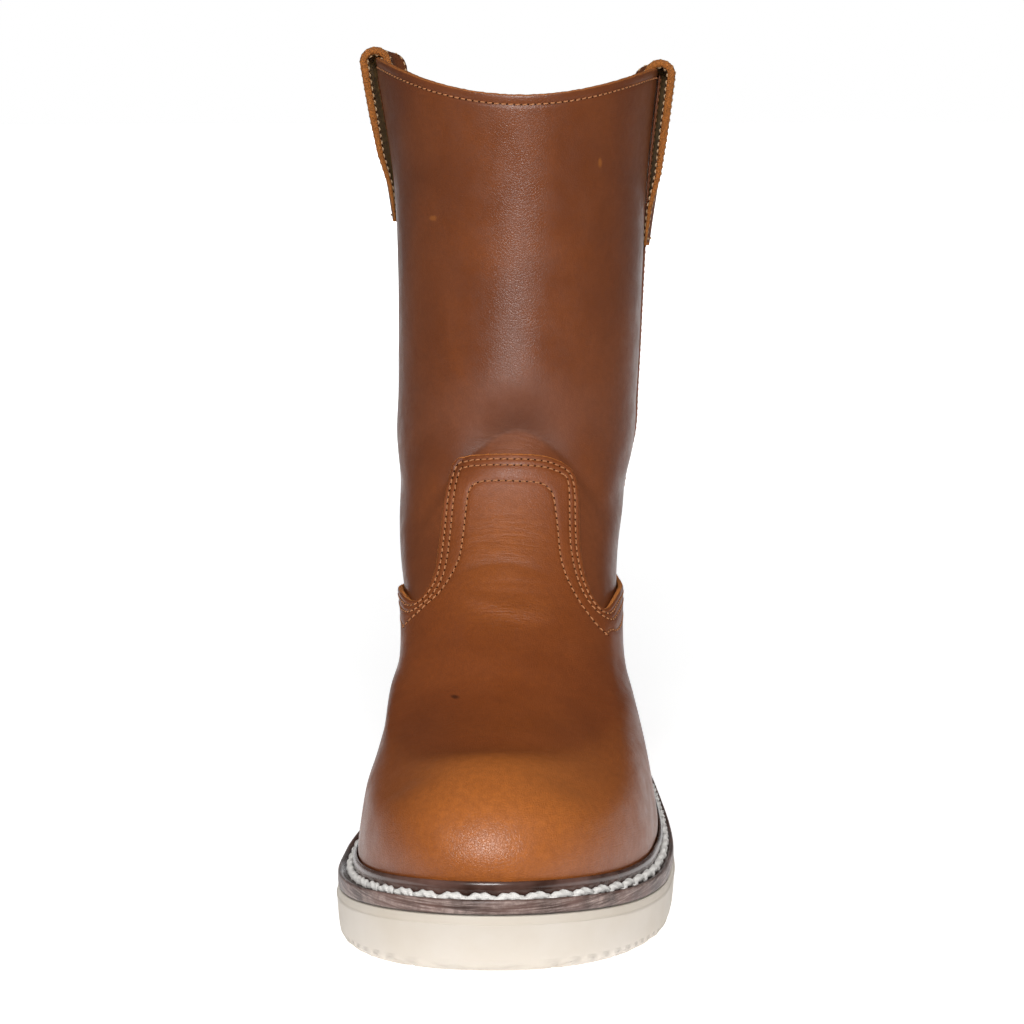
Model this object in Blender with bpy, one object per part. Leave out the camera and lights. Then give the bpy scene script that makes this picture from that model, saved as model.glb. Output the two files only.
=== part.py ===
"""Left pull-on wellington work boot: leather upper, stitched welt and wedge sole.

The toe points to -Y, the wearer's outer (lateral) side is +X and the floor is z = 0.
Sizes and tables are in millimetres; the meshes are written in metres.
"""
import math

import bmesh
import bpy
import numpy as np

MM = 0.001
GAP = 0.3                 # clearance between neighbouring pieces

# Sole
SOLE_LENGTH = 302.0       # heel edge to toe edge
BALL_WIDTH = 109.6        # medial bulge to lateral bulge
HEEL_ARC = 0.13           # share of the length that the round heel end takes
TOE_ARC = 0.25            # share of the length that the round toe end takes
TOE_SQUARE = 2.12         # power of the toe end's curve: 2 is an ellipse, more is squarer
TOE_SPRING = 9.0          # toe edge above the floor
SPRING_START = 0.66       # share of the length where the sole leaves the floor
TREAD_GROOVES = 15        # grooves across the tread
TREAD_DEPTH = 1.4
TREAD_WIDTH = 3.0
TREAD_BOW = 5.0           # forward bow of a groove from its ends to its middle
TREAD_FIRST = 0.75        # first groove's distance from the heel edge, in groove pitches
TREAD_REACH = 0.65        # half length of a groove's cutting bar, as a share of the ball width

# Upper
UPPER_WALL = 2.0
VAMP_WALL = 2.0
WELT_MARGIN = 8.0         # sole edge past the foot of the vamp
VAMP_GAP = 0.65           # clearance between upper and vamp
VAMP_FOOT_LEVEL = 0.16    # section level where the vamp starts inside the welt
INSOLE_THICKNESS = 4.0
INSOLE_CLEARANCE = 0.6

# Side seams and pull straps
SEAM_TURN = 98.0          # degrees from the shaft's front to a side seam's head
SEAM_FOOT_TURN = 107.0    # degrees to its foot at the vamp
SEAM_WIDTH = 9.0
SEAM_WALL = 0.9
SEAM_GAP = 0.55
SEAM_FOOT_Z = 101.0       # strip's foot, above the vamp's edge
SEAM_HEAD_DROP = 1.5      # strip's head under the collar edge
COLLAR_Z = 282.6          # collar edge at the side seams
SHAFT_GIRTH = 275.0       # round the ankle, to space the vamp's edge
TONGUE_FOOT = (-31.0, 44.0)    # turns, in degrees, where the vamp's edge rises into the tongue
TONGUE_HEAD = (-25.6, 29.6)    # turns, in degrees, of the tongue's upper corners
STRAP_WIDTH = 30.0
STRAP_WALL = 2.8
STRAP_FOOT_WALL = 1.5     # thinned foot of the outer leg
STRAP_BOW_RADIUS = 4.5    # middle of the strap's thickness, over the collar
STRAP_GAP = 0.45          # clearance between strap and seam, and strap and lining
STRAP_TAIL = 24.0         # length of the inner leg
STRAP_FLARE = 1.6         # how late the outer leg leaves the shaft

# Mesh steps
TURN_STEPS = 48           # columns round the boot
FOOT_STEPS = 20           # rows from the feather line to the throat
SHAFT_STEPS = 4           # rows from the throat to the collar
BACK_STEPS = 38           # columns of the vamp round the back of the tongue
TONGUE_STEPS = 14         # columns across the tongue
TONGUE_ROWS = 8
VAMP_ROWS = 12
SEAM_ROWS = 13
STRAP_LEG_ROWS = 9
STRAP_BOW_ROWS = 9
STRAP_TAIL_ROWS = 4
STRAP_ACROSS = 5
GROOVE_STEPS = 9          # rows along a groove
EDGE_SAMPLES = 1441       # samples that even out the vamp's edge
HALVINGS = 40             # steps of a search by halving
WELT_LEVELS = 3.0         # section levels that the welt's search covers
NORMAL_STEP = 0.01        # step in turn and level for a normal

# Half-widths from the centre line and its drift, as shares of the ball width
OUTLINE_COLUMNS = ("share", "medial", "lateral", "drift")
OUTLINE = (
    (0.00, 0.328, 0.328, -0.050),   # heel
    (0.12, 0.334, 0.334, -0.050),
    (0.20, 0.330, 0.352, -0.048),
    (0.30, 0.326, 0.380, -0.042),
    (0.40, 0.326, 0.440, -0.034),   # waist
    (0.50, 0.364, 0.474, -0.022),
    (0.60, 0.462, 0.496, -0.012),
    (0.68, 0.497, 0.501, -0.009),   # ball
    (0.76, 0.496, 0.488, -0.014),
    (0.86, 0.482, 0.470, -0.028),
    (1.00, 0.462, 0.454, -0.047),   # toe
)

# Height of the wedge's top along the length
WEDGE_COLUMNS = ("share", "top")
WEDGE = (
    (0.00, 36.0),
    (0.15, 34.3),
    (0.40, 25.0),
    (0.58, 18.0),
    (0.70, 16.4),
    (0.85, 19.0),
    (1.00, 26.0),
)

# Wedge side: inset from the sole edge at a height over the bottom or under the top
SIDE_COLUMNS = ("inset", "from_bottom", "from_top")
SIDE = (
    (3.0, 0.0, None),
    (1.6, 0.8, None),
    (0.9, 2.8, None),
    (0.0, None, 3.4),
    (0.0, None, 2.4),
    (0.8, None, 0.0),
)

# Welt section: inset from the sole edge, or distance out of the vamp, at a height over the wedge
WELT_COLUMNS = ("sole_inset", "vamp_out", "up")
WELT = (
    (None, 0.9, 0.3),
    (0.5, None, 0.3),
    (0.5, None, 3.7),
    (1.1, None, 4.2),
    (2.9, None, 4.3),
    (3.6, None, 4.0),
    (None, 2.5, 4.9),
    (None, 2.3, 6.6),
    (None, 1.4, 8.0),
    (None, 0.8, 7.9),
)

# Sections of the upper's outside from the feather line up: where each one meets the front and the
# back, as shares of the sole's length behind its middle, with the height there; its half-width as a
# share of the ball width; sideways sway, lift of both sides and tilt to the medial side; how far it
# keeps the foot's outline (1) or is an oval (0), and how far it follows the wedge's top
SECTION_COLUMNS = ("front", "front_z", "back", "back_z", "half", "sway", "lift", "tilt", "foot", "wedge")
SECTIONS = (
    (-0.4659, 26.3, 0.4659, 36.3, 0.4060, 0.0, 0.0, 0.0, 1.00, 1.00),   # feather line
    (-0.4785, 35.0, 0.4755, 46.0, 0.4252, 0.5, 0.0, 0.0, 1.00, 0.95),
    (-0.4752, 45.0, 0.4788, 56.0, 0.4088, 0.4, 0.0, 0.0, 1.00, 0.80),
    (-0.4503, 54.5, 0.4788, 65.0, 0.3869, 0.0, 0.0, 0.0, 1.00, 0.55),   # toe shoulder
    (-0.3940, 61.5, 0.4768, 74.0, 0.3668, -1.2, 0.0, 0.0, 0.95, 0.30),
    (-0.3113, 64.0, 0.4719, 83.0, 0.3522, -2.6, 0.0, 0.0, 0.85, 0.12),   # toe crown
    (-0.2219, 68.5, 0.4652, 93.0, 0.3425, -3.0, 0.0, 0.0, 0.68, 0.00),
    (-0.1325, 81.0, 0.4586, 104.0, 0.3531, -4.4, 0.0, 0.0, 0.48, 0.00),   # instep
    (-0.0464, 99.0, 0.4536, 117.0, 0.3768, -6.8, 0.0, 0.0, 0.27, 0.00),
    (0.0199, 120.0, 0.4520, 132.0, 0.3969, -6.8, 0.0, 0.0, 0.10, 0.00),
    (0.0530, 142.0, 0.4536, 150.0, 0.4088, -6.0, 0.0, 0.0, 0.00, 0.00),   # throat
    (0.0662, 170.0, 0.4586, 174.0, 0.4151, -5.2, 0.0, 0.0, 0.00, 0.00),
    (0.0662, 205.0, 0.4669, 207.0, 0.4234, -4.6, 2.0, 0.0, 0.00, 0.00),
    (0.0563, 240.0, 0.4735, 241.0, 0.4398, -4.5, 5.0, 0.4, 0.00, 0.00),
    (0.0397, 270.6, 0.4785, 272.0, 0.4818, -5.4, 13.5, 2.2, 0.00, 0.00),   # collar
)

THROAT_LEVEL = 10.0       # section level of the throat

# Upper edge of the vamp, from the back's middle on the medial side to the lateral side
EDGE_COLUMNS = ("turn", "height")
EDGE = (
    (-180.0, 107.0),
    (-140.0, 102.5),
    (-112.0, 97.5),
    (-96.0, 94.9),
    (-80.0, 94.7),
    (-68.0, 95.4),
    (-60.0, 95.5),
    (-54.0, 95.0),
    (-49.0, 94.1),
    (-44.5, 93.6),    # medial dip
    (-38.5, 94.6),
    (-34.0, 97.1),
    (-31.0, 100.4),
    (-29.3, 104.2),
    (-28.4, 110.0),
    (-28.0, 118.0),
    (-27.7, 126.0),
    (-27.2, 133.5),
    (-26.4, 138.0),
    (-24.6, 141.0),
    (-20.0, 143.0),
    (-12.0, 144.0),
    (0.0, 144.3),     # tongue
    (10.0, 144.1),
    (17.0, 143.4),
    (22.5, 142.0),
    (27.5, 140.0),
    (31.0, 137.4),
    (33.0, 133.5),
    (34.3, 127.5),
    (35.4, 120.0),
    (36.6, 113.0),
    (38.2, 107.6),
    (40.2, 102.8),
    (43.0, 98.0),
    (46.5, 93.8),
    (50.0, 91.3),
    (54.0, 90.3),     # lateral dip
    (58.5, 91.1),
    (62.0, 92.1),
    (66.0, 93.1),
    (72.0, 93.9),
    (80.0, 94.1),
    (92.0, 94.2),
    (110.0, 96.8),
    (140.0, 102.5),
    (180.0, 107.0),
)

# Straps: side (-1 medial, 1 lateral), foot of the outer leg and top of the loop
STRAP_COLUMNS = ("name", "side", "foot_z", "top_z")
STRAPS = (
    ("pull_strap_medial", -1, 226.5, 292.5),
    ("pull_strap_lateral", 1, 217.5, 287.6),
)

# Looks: red, green, blue, roughness
MATERIALS = {
    "outsole": ("cream_rubber", (0.86, 0.78, 0.68), 0.7),
    "welt": ("welt_leather", (0.12, 0.06, 0.04), 0.45),
    "insole": ("insole_leather", (0.42, 0.27, 0.16), 0.85),
    "upper": ("shaft_leather", (0.27, 0.12, 0.06), 0.5),
    "vamp": ("vamp_leather", (0.36, 0.14, 0.05), 0.45),
    "side_seam_medial": ("seam_leather_medial", (0.25, 0.11, 0.05), 0.5),
    "side_seam_lateral": ("seam_leather_lateral", (0.25, 0.11, 0.05), 0.5),
    "pull_strap_medial": ("strap_leather_medial", (0.32, 0.15, 0.07), 0.65),
    "pull_strap_lateral": ("strap_leather_lateral", (0.32, 0.15, 0.07), 0.65),
}


def column(table, columns, name):
    """One named column of a table as an array."""
    return np.array([row[columns.index(name)] for row in table], dtype=float)


def through(at, knots, values):
    """Smooth curve through a table's values, with averaged slopes at its rows."""
    slopes = np.gradient(values, knots)
    at = np.clip(at, knots[0], knots[-1])
    i = np.clip(np.searchsorted(knots, at) - 1, 0, len(knots) - 2)
    step = knots[i + 1] - knots[i]
    t = (at - knots[i]) / step
    rise = values[i + 1] - values[i]
    first = slopes[i] * step
    last = slopes[i + 1] * step
    return values[i] + t * (first + t * ((3 * rise - 2 * first - last) + t * (first + last - 2 * rise)))


def length_share(turn):
    """Share of the length from heel (0) to toe (1) at a turn, in radians from the toe."""
    return 0.5 + 0.5 * np.cos(turn)


def wedge_top(share):
    """Height of the wedge's top at a share of the sole's length."""
    return through(share, column(WEDGE, WEDGE_COLUMNS, "share"), column(WEDGE, WEDGE_COLUMNS, "top"))


def wedge_bottom(share):
    """Height of the tread at a share of the sole's length: flat, then the toe spring."""
    rise = np.clip((share - SPRING_START) / (1.0 - SPRING_START), 0.0, 1.0)
    return TOE_SPRING * rise ** 2


def sole_share(y):
    """Share of the sole's length at a place along it."""
    return np.clip(0.5 - y / SOLE_LENGTH, 0.0, 1.0)


def sole_edge(turn):
    """Plan of the sole's edge at a turn: x and y."""
    share = length_share(turn)
    knots = column(OUTLINE, OUTLINE_COLUMNS, "share")
    lateral = through(share, knots, column(OUTLINE, OUTLINE_COLUMNS, "lateral"))
    medial = through(share, knots, column(OUTLINE, OUTLINE_COLUMNS, "medial"))
    drift = through(share, knots, column(OUTLINE, OUTLINE_COLUMNS, "drift"))
    heel = np.clip(1.0 - share / HEEL_ARC, 0.0, 1.0)
    toe = np.clip(1.0 - (1.0 - share) / TOE_ARC, 0.0, 1.0)
    ends = np.sqrt(1.0 - heel ** 2) * (1.0 - toe ** TOE_SQUARE) ** (1.0 / TOE_SQUARE)
    half = np.where(np.sin(turn) >= 0.0, lateral, -medial) * ends
    return BALL_WIDTH * (half + drift), SOLE_LENGTH * (0.5 - share)


def sole_normal(turn):
    """Outward plan normal of the sole's edge."""
    x0, y0 = sole_edge(turn - NORMAL_STEP)
    x1, y1 = sole_edge(turn + NORMAL_STEP)
    length = np.hypot(x1 - x0, y1 - y0)
    return (y1 - y0) / length, (x0 - x1) / length


def inset_edge(turn, inset):
    """Plan of the sole's edge moved inwards."""
    x, y = sole_edge(turn)
    nx, ny = sole_normal(turn)
    return x - inset * nx, y - inset * ny


def foot_shape(turn):
    """Plan of the feather line on a unit scale: half-widths and share from back to front."""
    base = WELT_MARGIN + VAMP_WALL + GAP
    x, y = inset_edge(turn, base)
    sides = np.radians(np.arange(-180.0, 180.0, 2.0))
    around_x, around_y = inset_edge(sides, base)
    half = 0.5 * (around_x.max() - around_x.min())
    back, front = around_y.max(), around_y.min()
    return x / half, (back - y) / (back - front)


def upper_point(turn, level):
    """Outside of the upper at a turn (radians from the front) and a section level."""
    turn, level = np.broadcast_arrays(np.asarray(turn, float), np.asarray(level, float))
    rows = np.arange(len(SECTIONS), dtype=float)
    value = {name: through(level, rows, column(SECTIONS, SECTION_COLUMNS, name))
             for name in SECTION_COLUMNS}
    foot_x, foot_share = foot_shape(turn)
    oval_x, oval_share = np.sin(turn), length_share(turn)
    foot = np.clip(value["foot"], 0.0, 1.0)
    share = foot * foot_share + (1.0 - foot) * oval_share
    x = value["sway"] + BALL_WIDTH * value["half"] * (foot * foot_x + (1.0 - foot) * oval_x)
    y = SOLE_LENGTH * (value["back"] + (value["front"] - value["back"]) * share)
    z = value["back_z"] + (value["front_z"] - value["back_z"]) * share
    top = wedge_top(sole_share(y))
    chord = wedge_top(0.0) + (wedge_top(1.0) - wedge_top(0.0)) * share
    z = z + value["wedge"] * (top - chord)
    z = z + value["lift"] * np.sin(turn) ** 2 - value["tilt"] * np.sin(turn)
    return np.stack([x, y, z], axis=-1)


def upper_normal(turn, level):
    """Outward normal of the upper."""
    top_level = len(SECTIONS) - 1
    above = upper_point(turn, np.minimum(level + NORMAL_STEP, top_level))
    below = upper_point(turn, np.maximum(level - NORMAL_STEP, 0.0))
    after = upper_point(turn + NORMAL_STEP, level)
    before = upper_point(turn - NORMAL_STEP, level)
    normal = np.cross(after - before, above - below)
    return normal / np.linalg.norm(normal, axis=-1, keepdims=True)


def upper_offset(turn, level, distance):
    """Upper surface moved out along its normal."""
    return upper_point(turn, level) + distance * upper_normal(turn, level)


def level_at_height(turn, height):
    """Section level where the upper reaches a height at a turn, by halving."""
    low = np.zeros_like(turn)
    high = np.full_like(turn, len(SECTIONS) - 1.0)
    for _ in range(HALVINGS):
        middle = 0.5 * (low + high)
        under = upper_point(turn, middle)[..., 2] < height
        low = np.where(under, middle, low)
        high = np.where(under, high, middle)
    return 0.5 * (low + high)


def vamp_outside(turn, up):
    """Outside of the vamp at a height over the wedge, and its level, by halving."""
    distance = VAMP_GAP + VAMP_WALL
    low = np.zeros_like(turn)
    high = np.full_like(turn, WELT_LEVELS)
    for _ in range(HALVINGS):
        middle = 0.5 * (low + high)
        point = upper_offset(turn, middle, distance)
        under = point[..., 2] - wedge_top(sole_share(point[..., 1])) < up
        low = np.where(under, middle, low)
        high = np.where(under, high, middle)
    return upper_offset(turn, low, distance)


def make_object(name, points, faces):
    """Closed mesh object from points in millimetres, with its own material."""
    shell = bmesh.new()
    corners = [shell.verts.new([MM * value for value in point]) for point in points]
    for face in faces:
        shell.faces.new([corners[i] for i in face])
    bmesh.ops.recalc_face_normals(shell, faces=shell.faces)
    mesh = bpy.data.meshes.new(name)
    shell.to_mesh(mesh)
    shell.free()
    made = bpy.data.objects.new(name, mesh)
    bpy.context.collection.objects.link(made)
    return made


def paint(made):
    """Principled material of an object's row in the looks table."""
    slot, colour, roughness = MATERIALS[made.name]
    material = bpy.data.materials.new(slot)
    material.use_nodes = True
    shader = material.node_tree.nodes["Principled BSDF"]
    shader.inputs["Base Color"].default_value = (*colour, 1.0)
    shader.inputs["Roughness"].default_value = roughness
    shader.inputs["Metallic"].default_value = 0.0
    made.data.materials.append(material)


def grid_faces(rows, columns, closed, start=0):
    """Quads of a grid of points, wrapped round its columns if closed."""
    faces = []
    spans = columns if closed else columns - 1
    for row in range(rows - 1):
        for j in range(spans):
            k = (j + 1) % columns
            low, high = start + row * columns, start + (row + 1) * columns
            faces.append((low + j, low + k, high + k, high + j))
    return faces


def wall(name, front, back, closed):
    """Solid between two matching grids of points."""
    rows, columns = front.shape[:2]
    count = rows * columns
    faces = grid_faces(rows, columns, closed)
    faces += [tuple(reversed(face)) for face in grid_faces(rows, columns, closed, count)]
    spans = columns if closed else columns - 1
    for row in (0, rows - 1):
        for j in range(spans):
            a, b = row * columns + j, row * columns + (j + 1) % columns
            faces.append((a, b, b + count, a + count))
    if not closed:
        for j in (0, columns - 1):
            for row in range(rows - 1):
                a, b = row * columns + j, (row + 1) * columns + j
                faces.append((a, b, b + count, a + count))
    points = np.concatenate([front.reshape(-1, 3), back.reshape(-1, 3)])
    return make_object(name, points, faces)


def plate(name, rings):
    """Solid through a stack of matching rings, its ends closed by rungs from side to side."""
    rows, columns = rings.shape[:2]
    faces = grid_faces(rows, columns, True)
    half = columns // 2
    for start in (0, (rows - 1) * columns):
        for j in range(half):
            ladder = (j, j + 1, columns - j - 1, (columns - j) % columns)
            corners = list(dict.fromkeys(start + i for i in ladder))
            faces.append(tuple(corners))
    return make_object(name, rings.reshape(-1, 3), faces)


def around():
    """Turns of the columns round the boot, from the toe over the lateral side."""
    return np.linspace(0.0, 2.0 * math.pi, TURN_STEPS, endpoint=False)


def edge_ring(inset, from_bottom=None, from_top=None):
    """Ring of the wedge's side, inset from the sole edge."""
    x, y = inset_edge(around(), inset)
    share = sole_share(y)
    if from_top is None:
        z = wedge_bottom(share) + from_bottom
    else:
        z = wedge_top(share) - from_top
    return np.stack([x, y, z], axis=-1)


def make_outsole():
    """Wedge sole with a stepped side, toe spring and bowed grooves across its tread."""
    rings = np.stack([edge_ring(*row) for row in SIDE])
    sole = plate("outsole", rings)
    cutter = make_tread_cutter()
    cut = sole.modifiers.new("tread", "BOOLEAN")
    cut.operation = "DIFFERENCE"
    cut.solver = "EXACT"
    cut.object = cutter
    return sole


def make_tread_cutter():
    """Bars that cut the tread's grooves, one bowed bar a groove."""
    reach = TREAD_REACH * BALL_WIDTH
    pitch = SOLE_LENGTH / (TREAD_GROOVES - 1.0 + 2.0 * TREAD_FIRST)
    across = np.linspace(-reach, reach, GROOVE_STEPS)
    points, faces = [], []
    for i in range(TREAD_GROOVES):
        middle = 0.5 * SOLE_LENGTH - (i + TREAD_FIRST) * pitch
        y = middle - TREAD_BOW * (1.0 - (across / reach) ** 2)
        top = wedge_bottom(sole_share(y)) + TREAD_DEPTH
        below = np.full_like(top, -2.0 * TREAD_DEPTH)
        half = 0.5 * TREAD_WIDTH
        section = ((-half, below), (half, below), (half, top), (-half, top))
        bar = np.stack([np.stack([across, y + shift, z], axis=-1) for shift, z in section])
        start = len(points)
        rows, columns = bar.shape[:2]
        points.extend(bar.reshape(-1, 3))
        faces += grid_faces(rows, columns, False, start)
        last = start + (rows - 1) * columns
        faces += [(start + j, last + j, last + j + 1, start + j + 1) for j in range(columns - 1)]
        for j in (0, columns - 1):
            faces.append(tuple(start + row * columns + j for row in range(rows)))
    cutter = make_object("tread_cutter", points, faces)
    cutter.hide_render = True
    cutter.display_type = "WIRE"
    return cutter


def make_insole():
    """Insole on the wedge, inside the upper."""
    inset = WELT_MARGIN + VAMP_WALL + GAP + UPPER_WALL + INSOLE_CLEARANCE
    lower = edge_ring(inset, from_top=-GAP)
    upper = edge_ring(inset, from_top=-GAP - INSOLE_THICKNESS)
    return plate("insole", np.stack([lower, upper]))


def make_welt():
    """Welt round the vamp: flat edge, stitch channel and rounded lip."""
    turns = around()
    rings = []
    for sole_inset, vamp_out, up in WELT:
        if sole_inset is None:
            ring = vamp_outside(turns, up)
            nx, ny = sole_normal(turns)
            ring[:, 0] += vamp_out * nx
            ring[:, 1] += vamp_out * ny
        else:
            ring = edge_ring(sole_inset, from_top=0.0)
        ring[:, 2] = wedge_top(sole_share(ring[:, 1])) + up
        rings.append(ring)
    rings.append(rings[0])
    section = np.stack(rings)
    rows, columns = section.shape[:2]
    faces = [tuple(i % ((rows - 1) * columns) for i in face) for face in grid_faces(rows, columns, True)]
    return make_object("welt", section[:-1].reshape(-1, 3), faces)


def make_upper():
    """Hollow foot and shaft, open at the collar and underneath."""
    foot_levels = np.linspace(0.0, THROAT_LEVEL, FOOT_STEPS, endpoint=False)
    shaft_levels = np.linspace(THROAT_LEVEL, len(SECTIONS) - 1.0, SHAFT_STEPS + 1)
    levels = np.concatenate([foot_levels, shaft_levels])
    level, turn = np.meshgrid(levels, around(), indexing="ij")
    outside = upper_point(turn, level)
    inside = upper_offset(turn, level, -UPPER_WALL)
    return wall("upper", outside, inside, True)


def edge_stretch(first, last, steps):
    """Turns and levels, evenly spaced, along the vamp's edge from one turn in degrees to another."""
    knots = column(EDGE, EDGE_COLUMNS, "turn")
    turns = np.linspace(first, last, EDGE_SAMPLES)
    heights = through((turns + 180.0) % 360.0 - 180.0, knots, column(EDGE, EDGE_COLUMNS, "height"))
    run = np.hypot(np.diff(np.radians(turns)) * SHAFT_GIRTH / (2.0 * math.pi), np.diff(heights))
    travel = np.concatenate([[0.0], np.cumsum(run)])
    stops = np.linspace(0.0, travel[-1], steps + 1)
    turn = np.radians(np.interp(stops, travel, turns))
    height = np.interp(stops, travel, heights)
    return np.stack([turn, level_at_height(turn, height)], axis=-1)


def tongue_grid():
    """Turns and levels of the tongue, stretched between its foot line and its three edges."""
    left = edge_stretch(TONGUE_FOOT[0], TONGUE_HEAD[0], TONGUE_ROWS)[:, None]
    right = edge_stretch(TONGUE_FOOT[1], TONGUE_HEAD[1], TONGUE_ROWS)[:, None]
    head = edge_stretch(*TONGUE_HEAD, TONGUE_STEPS)[None]
    across = np.linspace(0.0, 1.0, TONGUE_STEPS + 1)[None, :, None]
    rise = np.linspace(0.0, 1.0, TONGUE_ROWS + 1)[:, None, None]
    rows = left + across * (right - left)
    return rows + rise * (head - rows[-1:])


def make_vamp():
    """Vamp and counter overlay, from the welt to its upper edge and tongue."""
    tongue = tongue_grid()
    back = edge_stretch(TONGUE_FOOT[1], 360.0 + TONGUE_FOOT[0], BACK_STEPS)
    ring = np.concatenate([tongue[0], back[1:-1]])
    rise = np.linspace(0.0, 1.0, VAMP_ROWS + 1)[:, None]
    level = VAMP_FOOT_LEVEL + (ring[:, 1] - VAMP_FOOT_LEVEL) * rise
    turn = np.concatenate([np.tile(ring[:, 0], VAMP_ROWS + 1), tongue[1:, :, 0].ravel()])
    level = np.concatenate([level.ravel(), tongue[1:, :, 1].ravel()])
    outside = upper_offset(turn, level, VAMP_GAP + VAMP_WALL)
    inside = upper_offset(turn, level, VAMP_GAP)
    columns, count = len(ring), len(turn)
    top = VAMP_ROWS * columns
    cells = np.arange(count - top - columns).reshape(TONGUE_ROWS, -1) + top + columns
    cells = np.vstack([top + np.arange(TONGUE_STEPS + 1), cells]).tolist()
    faces = grid_faces(VAMP_ROWS + 1, columns, True)
    for low, high in zip(cells, cells[1:]):
        faces += [(low[j], low[j + 1], high[j + 1], high[j]) for j in range(TONGUE_STEPS)]
    faces += [tuple(k + count for k in reversed(face)) for face in faces]
    edge = list(range(top + TONGUE_STEPS, top + columns)) + [row[0] for row in cells]
    edge += cells[-1][1:] + [row[-1] for row in cells[-2:0:-1]]
    for loop in (edge, list(range(columns))):
        faces += [(a, b, b + count, a + count) for a, b in zip(loop, loop[1:] + loop[:1])]
    return make_object("vamp", np.concatenate([outside, inside]), faces)


def shaft_place(side, height, along):
    """Turn and level on the shaft at a side seam, a distance along the girth from it."""
    rise = np.clip((height - SEAM_FOOT_Z) / (COLLAR_Z - SEAM_FOOT_Z), 0.0, 1.0)
    centre = side * np.radians(SEAM_FOOT_TURN + (SEAM_TURN - SEAM_FOOT_TURN) * rise)
    collar = upper_point(centre, len(SECTIONS) - 1.0)[..., 2]
    level = level_at_height(centre, np.minimum(height, collar))
    ahead = upper_point(centre + NORMAL_STEP, level)
    behind = upper_point(centre - NORMAL_STEP, level)
    pace = np.linalg.norm(ahead - behind, axis=-1) / (2.0 * NORMAL_STEP)
    return centre + along / pace, level


def make_side_seam(name, side):
    """Raised strip over a side seam of the shaft, from the vamp to the collar."""
    heights = np.linspace(SEAM_FOOT_Z, COLLAR_Z - SEAM_HEAD_DROP, SEAM_ROWS)
    along = np.linspace(-0.5, 0.5, 4) * SEAM_WIDTH
    height, across = np.meshgrid(heights, along, indexing="ij")
    turn, level = shaft_place(side, height, across)
    outside = upper_offset(turn, level, SEAM_GAP + SEAM_WALL)
    inside = upper_offset(turn, level, SEAM_GAP)
    return wall(name, outside, inside, False)


def strap_path(foot_z, top_z):
    """Middle line of a strap's thickness from foot to tail: distance out, height and thickness."""
    inner_out = -(UPPER_WALL + STRAP_GAP + 0.5 * STRAP_WALL)
    outer_out = inner_out + 2.0 * STRAP_BOW_RADIUS
    foot_out = SEAM_GAP + SEAM_WALL + STRAP_GAP + 0.5 * STRAP_FOOT_WALL
    bow_z = top_z - 0.5 * STRAP_WALL - STRAP_BOW_RADIUS
    rise = np.linspace(0.0, 1.0, STRAP_LEG_ROWS)
    leg_out = foot_out + (outer_out - foot_out) * rise ** STRAP_FLARE
    leg_z = foot_z + (bow_z - foot_z) * rise
    leg_wall = STRAP_FOOT_WALL + (STRAP_WALL - STRAP_FOOT_WALL) * np.minimum(2.0 * rise, 1.0)
    angle = np.linspace(0.0, math.pi, STRAP_BOW_ROWS)[1:-1]
    bow_out = inner_out + STRAP_BOW_RADIUS * (1.0 + np.cos(angle))
    bow_top = bow_z + STRAP_BOW_RADIUS * np.sin(angle)
    tail_z = np.linspace(bow_z, bow_z - STRAP_TAIL, STRAP_TAIL_ROWS)
    out = np.concatenate([leg_out, bow_out, np.full_like(tail_z, inner_out)])
    z = np.concatenate([leg_z, bow_top, tail_z])
    thickness = np.concatenate([leg_wall, np.full(len(bow_out) + len(tail_z), STRAP_WALL)])
    return out, z, thickness


def make_strap(name, side, foot_z, top_z):
    """Pull strap: a leather loop from the outside of the shaft over the collar to its inside."""
    out, z, thickness = strap_path(foot_z, top_z)
    d_out, d_z = np.gradient(out), np.gradient(z)
    length = np.hypot(d_out, d_z)
    along = np.linspace(-0.5, 0.5, STRAP_ACROSS) * STRAP_WIDTH
    height, across = np.meshgrid(z, along, indexing="ij")
    turn, level = shaft_place(side, height, across)
    base = upper_point(turn, level)
    normal = upper_normal(turn, level)
    normal[..., 2] = 0.0
    normal /= np.linalg.norm(normal, axis=-1, keepdims=True)
    faces = []
    for half in (0.5 * thickness, -0.5 * thickness):
        points = base + (out + half * d_z / length)[:, None, None] * normal
        points[..., 2] = (z - half * d_out / length)[:, None]
        faces.append(points)
    return wall(name, faces[0], faces[1], False)


def centre_boot(pieces):
    """Move the pieces so that their common box stands on the middle of the floor."""
    spots = np.array([corner.co[:2] for piece in pieces for corner in piece.data.vertices])
    middle = 0.5 * (spots.min(axis=0) + spots.max(axis=0))
    for made in bpy.data.objects:
        for corner in made.data.vertices:
            corner.co.x -= middle[0]
            corner.co.y -= middle[1]


def main():
    for old in list(bpy.data.objects):
        bpy.data.objects.remove(old, do_unlink=True)
    pieces = [make_outsole(), make_welt(), make_insole(), make_upper(), make_vamp()]
    pieces.append(make_side_seam("side_seam_medial", -1))
    pieces.append(make_side_seam("side_seam_lateral", 1))
    for name, side, foot_z, top_z in STRAPS:
        pieces.append(make_strap(name, side, foot_z, top_z))
    for piece in pieces:
        paint(piece)
    centre_boot(pieces)


main()
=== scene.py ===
"""Looks of a left pull-on wellington work boot: leather, stitching, welt and cream wedge sole.

The toe points to -Y, the wearer's outer (lateral) side is +X and the floor is z = 0.
The boot's own sizes and tables are in millimetres; meshes are written in metres.
"""
import math

import bmesh
import bpy
import numpy as np
from bpy.props import FloatProperty, FloatVectorProperty, IntProperty, PointerProperty
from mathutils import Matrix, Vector
from mathutils.kdtree import KDTree


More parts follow.
